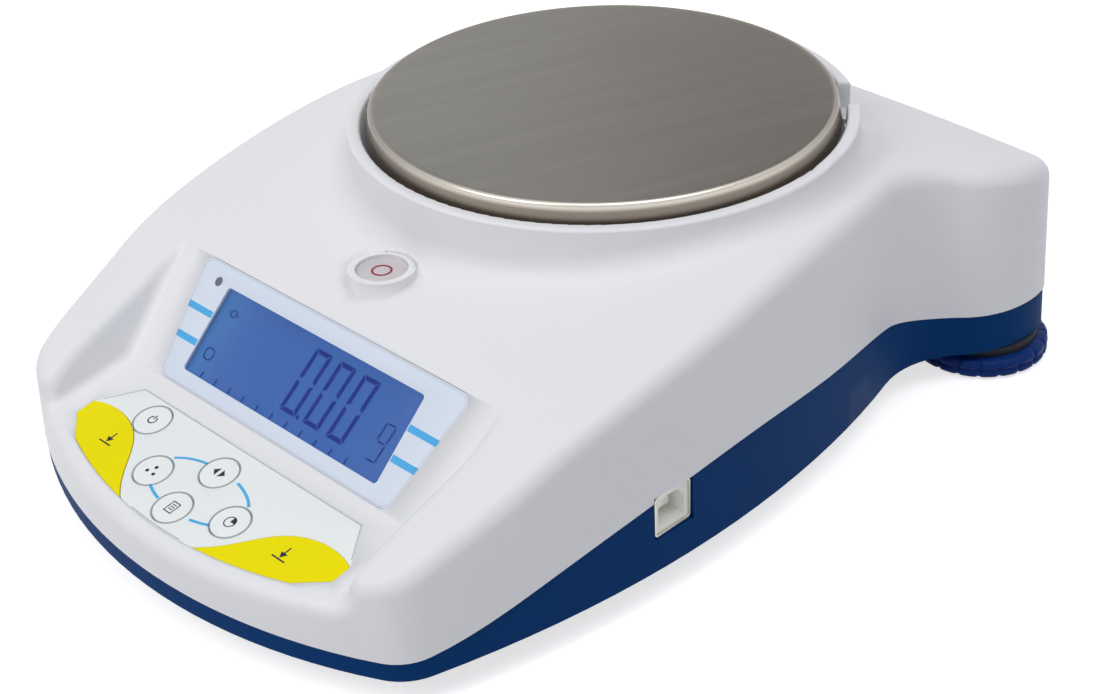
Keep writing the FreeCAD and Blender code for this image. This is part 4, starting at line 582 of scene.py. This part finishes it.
def rounded_outline(corners, radius, steps=6):
    """Outline with each corner of a convex polygon replaced by an arc."""
    points = []
    count = len(corners)
    for i, corner in enumerate(corners):
        here = Vector(corner)
        to_last = (Vector(corners[i - 1]) - here).normalized()
        to_next = (Vector(corners[(i + 1) % count]) - here).normalized()
        half = to_last.angle(to_next) / 2
        start = here + to_last * radius / math.tan(half)
        centre = here + (to_last + to_next).normalized() * radius / math.sin(half)
        sweep = math.pi - 2 * half
        turn = 1 if to_last.x * to_next.y - to_last.y * to_next.x < 0 else -1
        arm = start - centre
        for step in range(steps + 1):
            angle = turn * sweep * step / steps
            points.append((centre.x + arm.x * math.cos(angle) - arm.y * math.sin(angle),
                           centre.y + arm.x * math.sin(angle) + arm.y * math.cos(angle)))
    return points


def finished(name, mesh, finish, body):
    """Keep a mesh of flat shapes with its faces turned outwards."""
    bmesh.ops.recalc_face_normals(mesh, faces=mesh.faces)
    return keep_mesh(name, mesh, finish, body)


# Camera, light and floor
CAMERA_PLACE = Vector((338.68, -308.79, 299.16)) * MM
CAMERA_AZIMUTH = math.radians(46.853)
CAMERA_ELEVATION = math.radians(31.708)
CAMERA_ROLL = math.radians(2.664)
FOCAL_PIXELS = 2050
PHOTO_WIDTH = 1100
SENSOR = 36.0


def add_camera():
    """The photograph's camera."""
    forward = Vector((-math.sin(CAMERA_AZIMUTH) * math.cos(CAMERA_ELEVATION),
                      math.cos(CAMERA_AZIMUTH) * math.cos(CAMERA_ELEVATION), -math.sin(CAMERA_ELEVATION)))
    right = Vector((math.cos(CAMERA_AZIMUTH), math.sin(CAMERA_AZIMUTH), 0))
    down = forward.cross(right)
    x_axis = math.cos(CAMERA_ROLL) * right + math.sin(CAMERA_ROLL) * down
    y_axis = math.sin(CAMERA_ROLL) * right - math.cos(CAMERA_ROLL) * down
    camera = bpy.data.objects.new("camera", bpy.data.cameras.new("camera"))
    camera.data.sensor_width = SENSOR
    camera.data.lens = FOCAL_PIXELS * SENSOR / PHOTO_WIDTH
    camera.data.clip_start = 0.01
    turn = Matrix((x_axis, y_axis, -forward)).transposed()
    camera.matrix_world = Matrix.Translation(CAMERA_PLACE) @ turn.to_4x4()
    scene.collection.objects.link(camera)
    scene.camera = camera


def add_lamp(name, spot, target, size, power, colour):
    """Round soft lamp, aimed at a point."""
    lamp = bpy.data.lights.new(name, "AREA")
    lamp.shape = "DISK"
    lamp.size = size
    lamp.energy = power
    lamp.color = colour
    made = bpy.data.objects.new(name, lamp)
    aim = (Vector(target) - Vector(spot)).to_track_quat("-Z", "Y")
    made.matrix_world = Matrix.Translation(spot) @ aim.to_matrix().to_4x4()
    scene.collection.objects.link(made)


def shown_white(nodes):
    """1 for the rays that show the background: seen directly, in gloss or through glass."""
    rays = [nodes.add("ShaderNodeLightPath", out=kind)
            for kind in ("Is Camera Ray", "Is Glossy Ray", "Is Transmission Ray")]
    return rays[0] + rays[1] + rays[2]


def light_studio():
    """White surroundings for the camera, softer light on the object."""
    world = bpy.data.worlds.new("studio")
    scene.world = world
    world.use_nodes = True
    nodes = Nodes(world.node_tree)
    world.node_tree.nodes.clear()
    seen = shown_white(nodes)
    ambient = nodes.add("ShaderNodeBackground", {}, {"Color": (0.94, 0.95, 1.0, 1.0), "Strength": 0.40})
    white = nodes.add("ShaderNodeBackground", {}, {"Color": (1.0, 1.0, 1.0, 1.0), "Strength": 1.0})
    both = nodes.add("ShaderNodeMixShader", {}, {0: seen, 1: ambient, 2: white})
    output = world.node_tree.nodes.new("ShaderNodeOutputWorld")
    world.node_tree.links.new(both.socket, output.inputs["Surface"])
    add_lamp("key_lamp", (-0.2, -1.0, 1.1), (0, 0, 0.03), 0.9, 7.5, (1.0, 0.99, 0.97))
    add_lamp("top_lamp", (0.35, 0.0, 1.3), (0, 0, 0.03), 1.1, 6.0, (0.97, 0.98, 1.0))


def add_floor():
    """Wide flat floor under the feet."""
    mesh = bmesh.new()
    reach = 3.0
    corners = [mesh.verts.new((x, y, 0)) for x, y in
               ((-reach, -reach), (reach, -reach), (reach, reach), (-reach, reach))]
    mesh.faces.new(corners)
    data = bpy.data.meshes.new("floor")
    mesh.to_mesh(data)
    mesh.free()
    floor = bpy.data.objects.new("floor", data)
    scene.collection.objects.link(floor)
    data.materials.append(white_floor())


def white_floor():
    """Pale floor that shows white and keeps a soft shadow."""
    finish = Finish("pale_floor")
    cloud = finish.noise(3.0, 2.0)
    shade = finish.mix(cloud, (0.66, 0.66, 0.67, 1.0), (0.70, 0.70, 0.71, 1.0))
    glow = finish.mix(shown_white(finish), (0.0, 0.0, 0.0, 1.0), (0.68, 0.68, 0.68, 1.0))
    return finish.done({"Base Color": shade, "Roughness": 0.85, "Specular IOR Level": 0.1,
                        "Emission Color": glow, "Emission Strength": 1.0})


# Finishes of this balance
WHITE = moulded("white_housing_plastic", (0.80, 0.805, 0.83, 1.0), 0.42, gloss=0.35)
NAVY = moulded("navy_base_plastic", srgb(2, 54, 108), 0.55, gloss=0.05)
ROYAL = moulded("royal_blue_grip_plastic", srgb(10, 46, 112), 0.42, gloss=0.1)
# Dark grey for the collar between each levelling disc and the base.
COLLAR = moulded("dark_grey_collar_plastic", srgb(40, 41, 46), 0.55, gloss=0.2)
# Pan steel with painted shade, a painted reflection and a painted highlight on its rim.
PAN = brushed_pan("brushed_pan_steel", PAN_CENTRE)
DISPLAY_FILM_FINISH = film("pale_blue_display_film", srgb(210, 219, 234), srgb(217, 225, 238))
KEYPAD_FILM_FINISH = film("pale_keypad_film", srgb(230, 234, 233), srgb(234, 238, 238))
KEY_CAP = film("key_cap_film", srgb(233, 237, 236), srgb(236, 240, 240), 0.28)
YELLOW = film("yellow_key_film", srgb(236, 222, 0), srgb(240, 226, 4), 0.4, gloss=0.08)
LINE_GREY = printed("grey_line_ink", srgb(150, 156, 162))
FILM_LINE = printed("film_line_ink", srgb(176, 180, 184))
PALE_LINE = printed("pale_line_ink", srgb(196, 202, 216))
ICON_INK = printed("dark_icon_ink", srgb(44, 46, 54))
SKY_INK = printed("sky_blue_ink", srgb(82, 175, 231))
DIGIT_INK = printed("display_segment", srgb(30, 42, 140), 0.3)
FAINT_INK = printed("display_faint_segment", srgb(36, 54, 136), 0.3)
# Display glass with a painted highlight at its left edge.
LCD = lit_display("blue_display_glass")
CLEAR = clear("clear_window", (0.06, 0.12, 0.36, 1.0), 0.08)
LENS = clear("clear_level_lens", (0.95, 0.92, 0.94, 1.0), 0.55)
VIAL = moulded("pinkish_level_cup", srgb(206, 190, 192), 0.35)
FLUID = liquid("pink_level_liquid", srgb(222, 176, 180))
AIR = liquid("level_air", srgb(240, 236, 236))
RED_INK = printed("dark_red_ink", srgb(150, 44, 52))
STEEL = metal("bright_steel", (0.62, 0.61, 0.58, 1.0), 0.24)
TINNED = metal("tinned_sheet", (0.60, 0.59, 0.54, 1.0), 0.30)
ALUMINIUM = metal("machined_aluminium", (0.70, 0.71, 0.72, 1.0), 0.34)
CAST = metal("cast_aluminium", (0.52, 0.53, 0.54, 1.0), 0.46, 0.3)
CREAM = moulded("cream_insulator", srgb(250, 252, 243), 0.42)
BLACK = moulded("black_insulator", srgb(28, 28, 30), 0.45)
RUBBER = rubber("black_rubber", (0.018, 0.018, 0.020, 1.0))
BOARD = circuit("green_board")
LAMP_LENS = film("grey_lamp_lens", srgb(96, 100, 112), srgb(110, 114, 126), 0.2)
GUIDE = moulded("white_light_guide", srgb(226, 232, 238), 0.3)


# Fasteners
LEVEL_GROUND = Slope((0, 0, 0), 0.0)


def solids_of(node):
    """Boxes of a node's separate solids, in the order of their low corners."""
    mesh = merged_copy(node)
    waiting = set(mesh.verts)
    boxes = []
    while waiting:
        front = [waiting.pop()]
        found = list(front)
        while front:
            for edge in front.pop().link_edges:
                for vert in edge.verts:
                    if vert in waiting:
                        waiting.remove(vert)
                        front.append(vert)
                        found.append(vert)
        low = Vector([min(vert.co[i] for vert in found) for i in range(3)])
        high = Vector([max(vert.co[i] for vert in found) for i in range(3)])
        boxes.append((low, high))
    mesh.free()
    return sorted(boxes, key=lambda box: tuple(box[0]))


def drive_outline(kind, radius):
    """Plan of a cross or a hexagon socket in a head."""
    if kind == "hex":
        return arc(0, 0, HEX_REACH * radius, 0, 300, 5)
    reach, half = CROSS_REACH * radius, CROSS_WIDTH * radius
    arm = [(half, half), (half, reach), (-half, reach)]
    outline = []
    for _ in range(4):
        outline += arm
        arm = [(-v, u) for u, v in arm]
    return outline


def screw_form(name, kind, head, head_height, shank, length):
    """One screw standing head up, the top of its head at the origin, with its drive cut in."""
    pitch = THREAD_PITCH * shank
    core = THREAD_CORE * shank
    turns = max(2, int((length - head_height) / pitch) - 1)
    thread = []
    for turn in range(turns):
        z = -head_height - (turn + 0.4) * pitch
        thread += [(core, z), (shank, z - 0.5 * pitch)]
    top = [(0.0, 0.0), (head * 0.72, 0.0), (head * 0.93, -0.10 * head_height), (head, -0.3 * head_height)]
    profile = [*top, (head, -head_height), (core, -head_height), *thread,
               (SCREW_TIP * shank, -length), (0.0, -length)]
    form = bpy.data.objects.new(name, bpy.data.meshes.new(name))
    turned = lathe(profile, Vector((0, 0, 0)), 24)
    turned.to_mesh(form.data)
    turned.free()
    cutter = bpy.data.objects.new(name + "_drive", bpy.data.meshes.new(name + "_drive"))
    mesh = bmesh.new()
    slab(mesh, LEVEL_GROUND, drive_outline(kind, head), -0.6 * head_height, 0.5 * head_height)
    bmesh.ops.recalc_face_normals(mesh, faces=mesh.faces)
    mesh.to_mesh(cutter.data)
    mesh.free()
    for made in (form, cutter):
        scene.collection.objects.link(made)
    drive = form.modifiers.new("drive", "BOOLEAN")
    drive.operation = "DIFFERENCE"
    drive.object = cutter
    bpy.context.view_layer.update()
    bake_modifiers(form)
    bpy.data.objects.remove(cutter)
    return form


def add_screws(node, kind, head_height, shank, finish, head_down=False):
    """A node's fasteners as instances of one screw, each stood where the node has a solid."""
    boxes = solids_of(node)
    low, high = boxes[0]
    form = screw_form(node + "_form", kind, (high.x - low.x) / 2, head_height, shank, high.z - low.z)
    seeds = bmesh.new()
    for low, high in boxes:
        seeds.verts.new(((low.x + high.x) / 2, (low.y + high.y) / 2, low.z if head_down else high.z))
    places = bpy.data.meshes.new(node + "_places")
    seeds.to_mesh(places)
    seeds.free()

    def build(nodes, given):
        screw = nodes.add("GeometryNodeObjectInfo", {}, {"Object": given["Screw"]}, out="Geometry")
        points = nodes.add("GeometryNodeMeshToPoints", {}, {"Mesh": given["Geometry"]})
        turn = nodes.add("ShaderNodeCombineXYZ", {}, {"X": given["Turn"], "Z": given["Twist"]})
        stood = nodes.add("GeometryNodeInstanceOnPoints", {}, {"Points": points, "Instance": screw,
                                                               "Rotation": turn})
        real = nodes.add("GeometryNodeRealizeInstances", {}, {"Geometry": stood})
        return nodes.add("GeometryNodeSetMaterial", {}, {"Geometry": real, "Material": finish})

    made = grow(node + "_set", places, build,
                {"Screw": form, "Turn": math.pi if head_down else 0.0, "Twist": SCREW_TWIST},
                body_of_node(node))
    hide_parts(node)
    bpy.data.objects.remove(form)


def add_fasteners():
    """Screws and the bolt whose heads show when the pan or a cover is off."""
    add_screws("housing_screws", "cross", 2.0 * MM, 1.5 * MM, STEEL, head_down=True)
    add_screws("main_board_screws", "cross", 1.6 * MM, 1.2 * MM, STEEL)
    add_screws("pan_support_bolt", "hex", 2.6 * MM, 2.0 * MM, STEEL)


# Housing
def dress_housing():
    """White cover and blue base."""
    dress("top_cover", WHITE, smooth=24)
    dress("base_shell", NAVY, smooth=24)


def dress_inside():
    """Pieces under the pan and behind the films, each with its finish and edge rounding in mm."""
    for node, finish, bevel in (
            ("pan_support", CAST, 0.4), ("load_cell", ALUMINIUM, 0.25), ("cell_mount", ALUMINIUM, 0.2),
            ("load_bracket", ALUMINIUM, 0.3), ("overload_stop", STEEL, 0.2), ("cell_bolts", STEEL, 0.2),
            ("bracket_bolts", STEEL, 0.2), ("pan_cushions", RUBBER, 0.3),
            ("display_board", BOARD, 0.1), ("keypad_board", BOARD, 0.1), ("main_board", BOARD, 0.1),
            ("display_board_screws", STEEL, 0.1), ("keypad_board_screws", STEEL, 0.1),
            ("key_switches", BLACK, 0.15), ("lcd_backlight", GUIDE, 0.2), ("power_jack", BLACK, 0.2)):
        dress(node, finish, bevel * MM)


# Weighing pan
def dress_pan():
    """Pan sheet, its outline in mm: a shallow groove inside its rolled edge, and a flared skirt."""
    low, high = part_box("weighing_pan")
    centre = Vector(((low.x + high.x) / 2, (low.y + high.y) / 2, high.z))
    top = [(0.0, 0.0), (57.6, 0.0), (58.2, -0.03), (58.55, -0.22), (58.9, -0.24), (59.2, -0.06)]
    bead = arc(BEAD_CENTRE, -BEAD_RADIUS, BEAD_RADIUS, 80, 0, 8)
    skirt = [(60.2, -1.6), (60.45, -2.6), (60.8, -4.4), (61.15, -6.2), (61.2, -6.5)]
    inside = [(60.4, -6.5), (60.0, -4.4), (59.65, -2.6), (59.3, -1.4), (58.7, -0.9), (57.6, -PAN_SHEET),
              (0.0, -PAN_SHEET)]
    profile = [(r * MM, z * MM) for r, z in top + bead + skirt + inside]
    made = keep_mesh("weighing_pan_sheet", lathe(profile, centre, 256), PAN, "pan", 50)
    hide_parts("weighing_pan")


# Display
def segment_outlines(which, wide, tall, thick, gap):
    """Outlines of a digit's lit segments, in its own upright cell."""
    middle = tall / 2
    shapes = {
        "top": [(gap, tall), (wide - gap, tall), (wide - gap - thick, tall - thick),
                (gap + thick, tall - thick)],
        "upper_left": [(0, tall - gap), (thick, tall - gap - thick), (thick, middle + gap + thick / 2),
                       (0, middle + gap)],
        "upper_right": [(wide, tall - gap), (wide - thick, tall - gap - thick),
                        (wide - thick, middle + gap + thick / 2), (wide, middle + gap)],
        "middle": [(gap + thick / 2, middle), (gap + thick, middle + thick / 2),
                   (wide - gap - thick, middle + thick / 2), (wide - gap - thick / 2, middle),
                   (wide - gap - thick, middle - thick / 2), (gap + thick, middle - thick / 2)],
        "lower_left": [(0, gap), (thick, gap + thick), (thick, middle - gap - thick / 2), (0, middle - gap)],
        "lower_right": [(wide, gap), (wide - thick, gap + thick), (wide - thick, middle - gap - thick / 2),
                        (wide, middle - gap)],
        "bottom": [(gap, 0), (wide - gap, 0), (wide - gap - thick, thick), (gap + thick, thick)],
    }
    return [shapes[name] for name in which]


ROUND_DIGIT = ("top", "upper_left", "upper_right", "lower_left", "lower_right", "bottom")
UNIT_SIGN = ("top", "upper_left", "upper_right", "middle", "lower_right", "bottom")
GLASS_FACE, GLASS_INK = -GLASS_DEPTH, -GLASS_DEPTH + SEGMENT_HEIGHT


def add_sign(mesh, segments, start, foot):
    """Leaning seven-segment sign on the display's glass."""
    for outline in segments:
        leaning = [(start + u + LEAN * v, foot + v) for u, v in outline]
        slab(mesh, display, leaning, GLASS_FACE, GLASS_INK)


def add_digits():
    """Three zeros with their point."""
    mesh = bmesh.new()
    zero = segment_outlines(ROUND_DIGIT, DIGIT_WIDE, DIGIT_TALL, DIGIT_STROKE, DIGIT_GAP)
    for start in DIGIT_STARTS:
        add_sign(mesh, zero, start, DIGIT_FOOT)
    point = [(2.9, -0.1), (3.7, -0.1), (3.8, 0.9), (3.0, 0.9)]
    slab(mesh, display, [(u * MM, DIGIT_FOOT + v * MM) for u, v in point], GLASS_FACE, GLASS_INK)
    finished("display_digits", mesh, DIGIT_INK, "housing")


def add_display_marks():
    """Fainter unit sign, the steady sign (a ring between two dashes) and the zero sign (a pill)."""
    mesh = bmesh.new()
    unit = segment_outlines(UNIT_SIGN, UNIT_WIDE, UNIT_TALL, UNIT_STROKE, UNIT_GAP)
    add_sign(mesh, unit, UNIT_START, UNIT_FOOT)
    u, v = STEADY_SIGN
    stroke = 0.28 * MM
    ring_line(mesh, display, u, v, 0.95 * MM, stroke, GLASS_FACE, GLASS_INK, 12)
    for side in (-1, 1):
        dash = [(u + side * 1.35 * MM, v), (u + side * 2.15 * MM, v)]
        line(mesh, display, dash, stroke, GLASS_FACE, GLASS_INK)
    corners = [(-34.9, 9.6), (-31.9, 9.6), (-31.6, 12.6), (-34.6, 12.6)]
    pill = rounded_outline([(u * MM, v * MM) for u, v in corners], 1.0 * MM, 4)
    line(mesh, display, pill, 0.36 * MM, GLASS_FACE, GLASS_INK, closed=True)
    finished("display_marks", mesh, FAINT_INK, "housing")


def grow(name, seed_mesh, build, sizes, body):
    """Run a geometry-node tree with named sizes on a seed mesh and keep the plain result."""
    group = bpy.data.node_groups.new(name, "GeometryNodeTree")
    group.interface.new_socket("Geometry", in_out="INPUT", socket_type="NodeSocketGeometry")
    for title, value in sizes.items():
        kind = {int: "NodeSocketInt", float: "NodeSocketFloat"}.get(type(value), "NodeSocketObject")
        group.interface.new_socket(title, in_out="INPUT", socket_type=kind)
    group.interface.new_socket("Geometry", in_out="OUTPUT", socket_type="NodeSocketGeometry")
    given = group.nodes.new("NodeGroupInput")
    nodes = Nodes(group)
    inputs = {title: Wire(group, given.outputs[title]) for title in ["Geometry", *sizes]}
    result = build(nodes, inputs)
    output = group.nodes.new("NodeGroupOutput")
    group.links.new(result.socket, output.inputs[0])
    made = bpy.data.objects.new(name, seed_mesh)
    scene.collection.objects.link(made)
    modifier = made.modifiers.new("growth", "NODES")
    modifier.node_group = group
    for item in group.interface.items_tree:
        if item.in_out == "INPUT" and item.name in sizes:
            modifier[item.identifier] = sizes[item.name]
    bpy.context.view_layer.update()
    bake_modifiers(made)
    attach(made, body)
    return made


def add_ticks():
    """Row of short leaning marks along the foot of the display, one instance per tick."""
    seat_place = tuple(display.place(0, TICK_FOOT, 0.02 * MM - GLASS_DEPTH))

    def build(nodes, given):
        points = nodes.add("GeometryNodeMeshLine", {"mode": "OFFSET"}, {"Count": given["Ticks"]})
        index = nodes.add("GeometryNodeInputIndex")
        spot = nodes.add("ShaderNodeCombineXYZ", {}, {"X": given["First"] + index * given["Pitch"]})
        row = nodes.add("GeometryNodeSetPosition", {}, {"Geometry": points, "Position": spot})
        width = nodes.add("ShaderNodeCombineXYZ", {}, {"X": given["Width"], "Y": given["Length"],
                                                       "Z": given["Thickness"]})
        bar = nodes.add("GeometryNodeMeshCube", {}, {"Size": width})
        bars = nodes.add("GeometryNodeInstanceOnPoints", {}, {"Points": row, "Instance": bar})
        turned = nodes.add("GeometryNodeRotateInstances", {}, {"Instances": bars,
                                                               "Rotation": (0, 0, -LEAN)})
        real = nodes.add("GeometryNodeRealizeInstances", {}, {"Geometry": turned})
        seat = nodes.add("GeometryNodeTransform", {}, {
            "Geometry": real, "Translation": seat_place, "Rotation": (DISPLAY_TILT, 0, 0)})
        return nodes.add("GeometryNodeSetMaterial", {}, {"Geometry": seat, "Material": FAINT_INK})

    grow("display_ticks", bpy.data.meshes.new("tick_seed"), build,
         {"Ticks": TICK_COUNT, "First": -31.9 * MM, "Pitch": 5.52 * MM, "Width": 0.42 * MM,
          "Length": 1.6 * MM, "Thickness": SEGMENT_HEIGHT}, "housing")


def add_stripes():
    """Two sky-blue stripes on each side of the window, out to the film's slanted edges."""
    mesh = bmesh.new()
    for sign, inner, outer in STRIPE_SIDES:
        for foot, head in STRIPE_ROWS:
            foot_end, head_end = (outer + STRIPE_SPREAD * (v - STRIPE_MIDDLE) for v in (foot, head))
            outline = [(inner, foot), (foot_end, foot), (head_end, head), (inner, head)]
            stripe = [(sign * u * MM, v * MM) for u, v in outline[::sign]]
            slab(mesh, display, stripe, PRINT_ROOT, PRINT)
    finished("display_stripes", mesh, SKY_INK, "housing")


def add_display_edge():
    """Pale line round the display film."""
    mesh = bmesh.new()
    corners = [(-EDGE_FOOT_HALF, EDGE_FOOT), (EDGE_FOOT_HALF, EDGE_FOOT),
               (EDGE_HEAD_HALF, EDGE_HEAD), (-EDGE_HEAD_HALF, EDGE_HEAD)]
    edge = rounded_outline(corners, EDGE_ROUND)
    line(mesh, display, edge, EDGE_WIDTH, PRINT_ROOT, PRINT, closed=True)
    finished("display_edge_line", mesh, PALE_LINE, "housing")


def dress_display():
    """Film, window, lit glass and lamp, with what is shown and printed on them."""
    dress("display_bezel", DISPLAY_FILM_FINISH, 0.08 * MM)
    dress("display_window", CLEAR, 0.1 * MM)
    dress("lcd_glass", LCD, 0.1 * MM)
    dress("status_lens", LAMP_LENS, 0.15 * MM)
    add_digits()
    add_display_marks()
    add_ticks()
    add_stripes()
    add_display_edge()


# Keypad
def sign_line(mesh, points, width, closed=False):
    line(mesh, keypad, points, width, SIGN_LOW, SIGN_HIGH, closed)


def sign_patch(mesh, points):
    slab(mesh, keypad, points, SIGN_LOW, SIGN_HIGH)


def power_sign(mesh, u, v):
    """Open ring with a stroke through its gap."""
    stroke = 0.34 * MM
    sign_line(mesh, arc(u, v, 1.15 * MM, 120, 420), stroke)
    sign_line(mesh, [(u, v + 0.3 * MM), (u, v + 1.7 * MM)], stroke)


def dots_sign(mesh, u, v):
    """Three counted pieces."""
    for across, up in ((-1.2, -0.8), (1.2, -0.8), (0.0, 1.1)):
        sign_patch(mesh, arc(u + across * MM, v + up * MM, 0.5 * MM, 0, 360, 20)[:-1])


def arrows_sign(mesh, u, v):
    """Two arrow heads, left and right."""
    for side in (-1, 1):
        head = [(0.5, 1.3), (2.0, 0.0), (0.5, -1.3)][::-side]
        sign_patch(mesh, [(u + side * across * MM, v + up * MM) for across, up in head])


def sheet_sign(mesh, u, v):
    """Sheet of paper with three rows."""
    half_wide, half_tall, half_row = 1.2 * MM, 1.6 * MM, 0.7 * MM
    sheet = [(u - half_wide, v - half_tall), (u + half_wide, v - half_tall),
             (u + half_wide, v + half_tall), (u - half_wide, v + half_tall)]
    sign_line(mesh, sheet, 0.28 * MM, closed=True)
    for up in (-0.6, 0.1, 0.8):
        row = v + up * MM
        sign_line(mesh, [(u - half_row, row), (u + half_row, row)], 0.24 * MM)


def share_sign(mesh, u, v):
    """Ring with a quarter filled in."""
    radius = 1.5 * MM
    sign_line(mesh, arc(u, v, radius, 0, 360, 40)[:-1], 0.28 * MM, closed=True)
    sign_patch(mesh, [(u, v)] + arc(u, v, radius, 0, 90, 12))


KEY_SIGNS = {"power_key": power_sign, "select_key": dots_sign, "mode_key": arrows_sign,
             "print_key": sheet_sign, "percent_key": share_sign}


def add_round_key(name, u, v):
    """Key with the ring round it and its sign."""
    dress(name, KEY_CAP)
    mesh = bmesh.new()
    ring_line(mesh, keypad, u, v, KEY_RING, KEY_RING_WIDTH, PRINT_ROOT, PRINT)
    finished(name + "_outline", mesh, LINE_GREY, "housing")
    mesh = bmesh.new()
    KEY_SIGNS[name](mesh, u, v)
    finished(name + "_sign", mesh, ICON_INK, name)


def add_tare_key(name, side):
    """Yellow zone with an arrow down to a line, the usual sign for setting back to zero."""
    dress(name, YELLOW)
    mesh = bmesh.new()
    u, v = side * TARE_SIGN[0], TARE_SIGN[1]
    half_base, base = 2.2 * MM, v - 1.7 * MM
    half_head, head_top, head_tip = 1.1 * MM, v + 0.3 * MM, v - 1.3 * MM
    sign_line(mesh, [(u - half_base, base), (u + half_base, base)], TARE_STROKE)
    sign_line(mesh, [(u, v + 2.2 * MM), (u, v - 0.2 * MM)], TARE_STROKE)
    sign_patch(mesh, [(u - half_head, head_top), (u, head_tip), (u + half_head, head_top)])
    finished(name + "_sign", mesh, ICON_INK, name)


def add_film_line():
    """Thin grey line along the keypad film's rear and front edges, up to the yellow zones."""
    mesh = bmesh.new()
    side_u, side_v = FILM_SIDE
    rear = [(-side_u, side_v), (-FILM_REAR_HALF, 0.0), (FILM_REAR_HALF, 0.0), (side_u, side_v)]
    line(mesh, keypad, offset_line(rear, -FILM_LINE_INSET), FILM_LINE_WIDTH, PRINT_ROOT, PRINT)
    radius = FILM_FRONT_RADIUS - FILM_LINE_INSET
    front = arc(0.0, FILM_FRONT + FILM_FRONT_RADIUS, radius, *FILM_FRONT_ARC, 16)
    line(mesh, keypad, front, FILM_LINE_WIDTH, PRINT_ROOT, PRINT)
    finished("keypad_edge_line", mesh, FILM_LINE, "housing")


def add_link_arcs():
    """Sky-blue arcs of one oval that link the four lower keys."""
    mesh = bmesh.new()
    for start, end in LINK_ARCS:
        points = arc(*LINK_OVAL, start, end, 20, LINK_SQUEEZE)
        line(mesh, keypad, points, LINK_WIDTH, PRINT_ROOT, PRINT)
    finished("key_link_arcs", mesh, SKY_INK, "housing")


def dress_keypad():
    """Film, keys and what is printed on them."""
    dress("keypad_overlay", KEYPAD_FILM_FINISH, 0.08 * MM)
    for name, (u, v) in KEYS.items():
        add_round_key(name, u * MM, v * MM)
    for name, side in (("tare_key_right", 1), ("tare_key_left", -1)):
        add_tare_key(name, side)
    add_film_line()
    add_link_arcs()


# Level, sockets and feet
def dress_level():
    """Cup, liquid, bubble, lens and circle of the bubble level."""
    dress("level_vial", VIAL, 0.1 * MM)
    dress("level_fluid", FLUID)
    dress("level_air_bubble", AIR)
    dress("level_glass", LENS, 0.2 * MM)
    dress("level_circle", RED_INK)


def dress_sockets():
    """Data socket in the flank."""
    dress("usb_shell", TINNED, 0.12 * MM)
    dress("usb_core", CREAM, 0.1 * MM)
    dress("usb_tongue", CREAM, 0.25 * MM)


def grip_dip(radius, height, angle):
    """Shallow scallops round the disc's outer face."""
    if radius < FOOT_RADIUS - 1.5 * MM:
        return 0.0
    return -FOOT_DIP * max(0.0, math.cos(FOOT_LOBES * angle)) ** 4


def add_grip_disc(side):
    """Blue levelling disc: two soft bands round its edge with a groove between them."""
    node = "foot_disc_" + side
    low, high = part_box(node)
    thick = high.z - low.z
    centre = Vector(((low.x + high.x) / 2, (low.y + high.y) / 2, low.z))
    under = [(STUD_BORE, PAD_SEAT_DEPTH), (PAD_SEAT, PAD_SEAT_DEPTH), (PAD_SEAT, 0.0)]
    steps = [(1.3, 0.0), (0.5, 0.12), (0.1, 0.6), (0.0, 1.2), (0.12, 1.75), (0.5, 2.05), (0.5, 2.3),
             (0.12, 2.6), (0.0, 3.2), (0.1, 4.0), (0.5, 4.6), (1.3, thick / MM)]
    outside = [(FOOT_RADIUS - inset * MM, height * MM) for inset, height in steps]
    profile = under + outside + [(STUD_BORE, thick)]
    disc = lathe(profile, centre, 16 * FOOT_LOBES, grip_dip)
    made = keep_mesh("grip_disc_" + side, disc, ROYAL, body_of_node(node), 50)
    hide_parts(node)


def dress_feet():
    """Two levelling feet at the rear, two plain ones at the front."""
    for side in ("left", "right"):
        add_grip_disc(side)
        dress("foot_stud_" + side, STEEL, 0.2 * MM)
        dress("foot_collar_" + side, COLLAR, 0.3 * MM)
        dress("foot_pad_" + side, RUBBER, 0.3 * MM)
        dress("front_foot_" + side, RUBBER, 0.2 * MM)


add_camera()
light_studio()
add_floor()
dress_housing()
dress_inside()
add_fasteners()
dress_pan()
dress_display()
dress_keypad()
dress_level()
dress_sockets()
dress_feet()
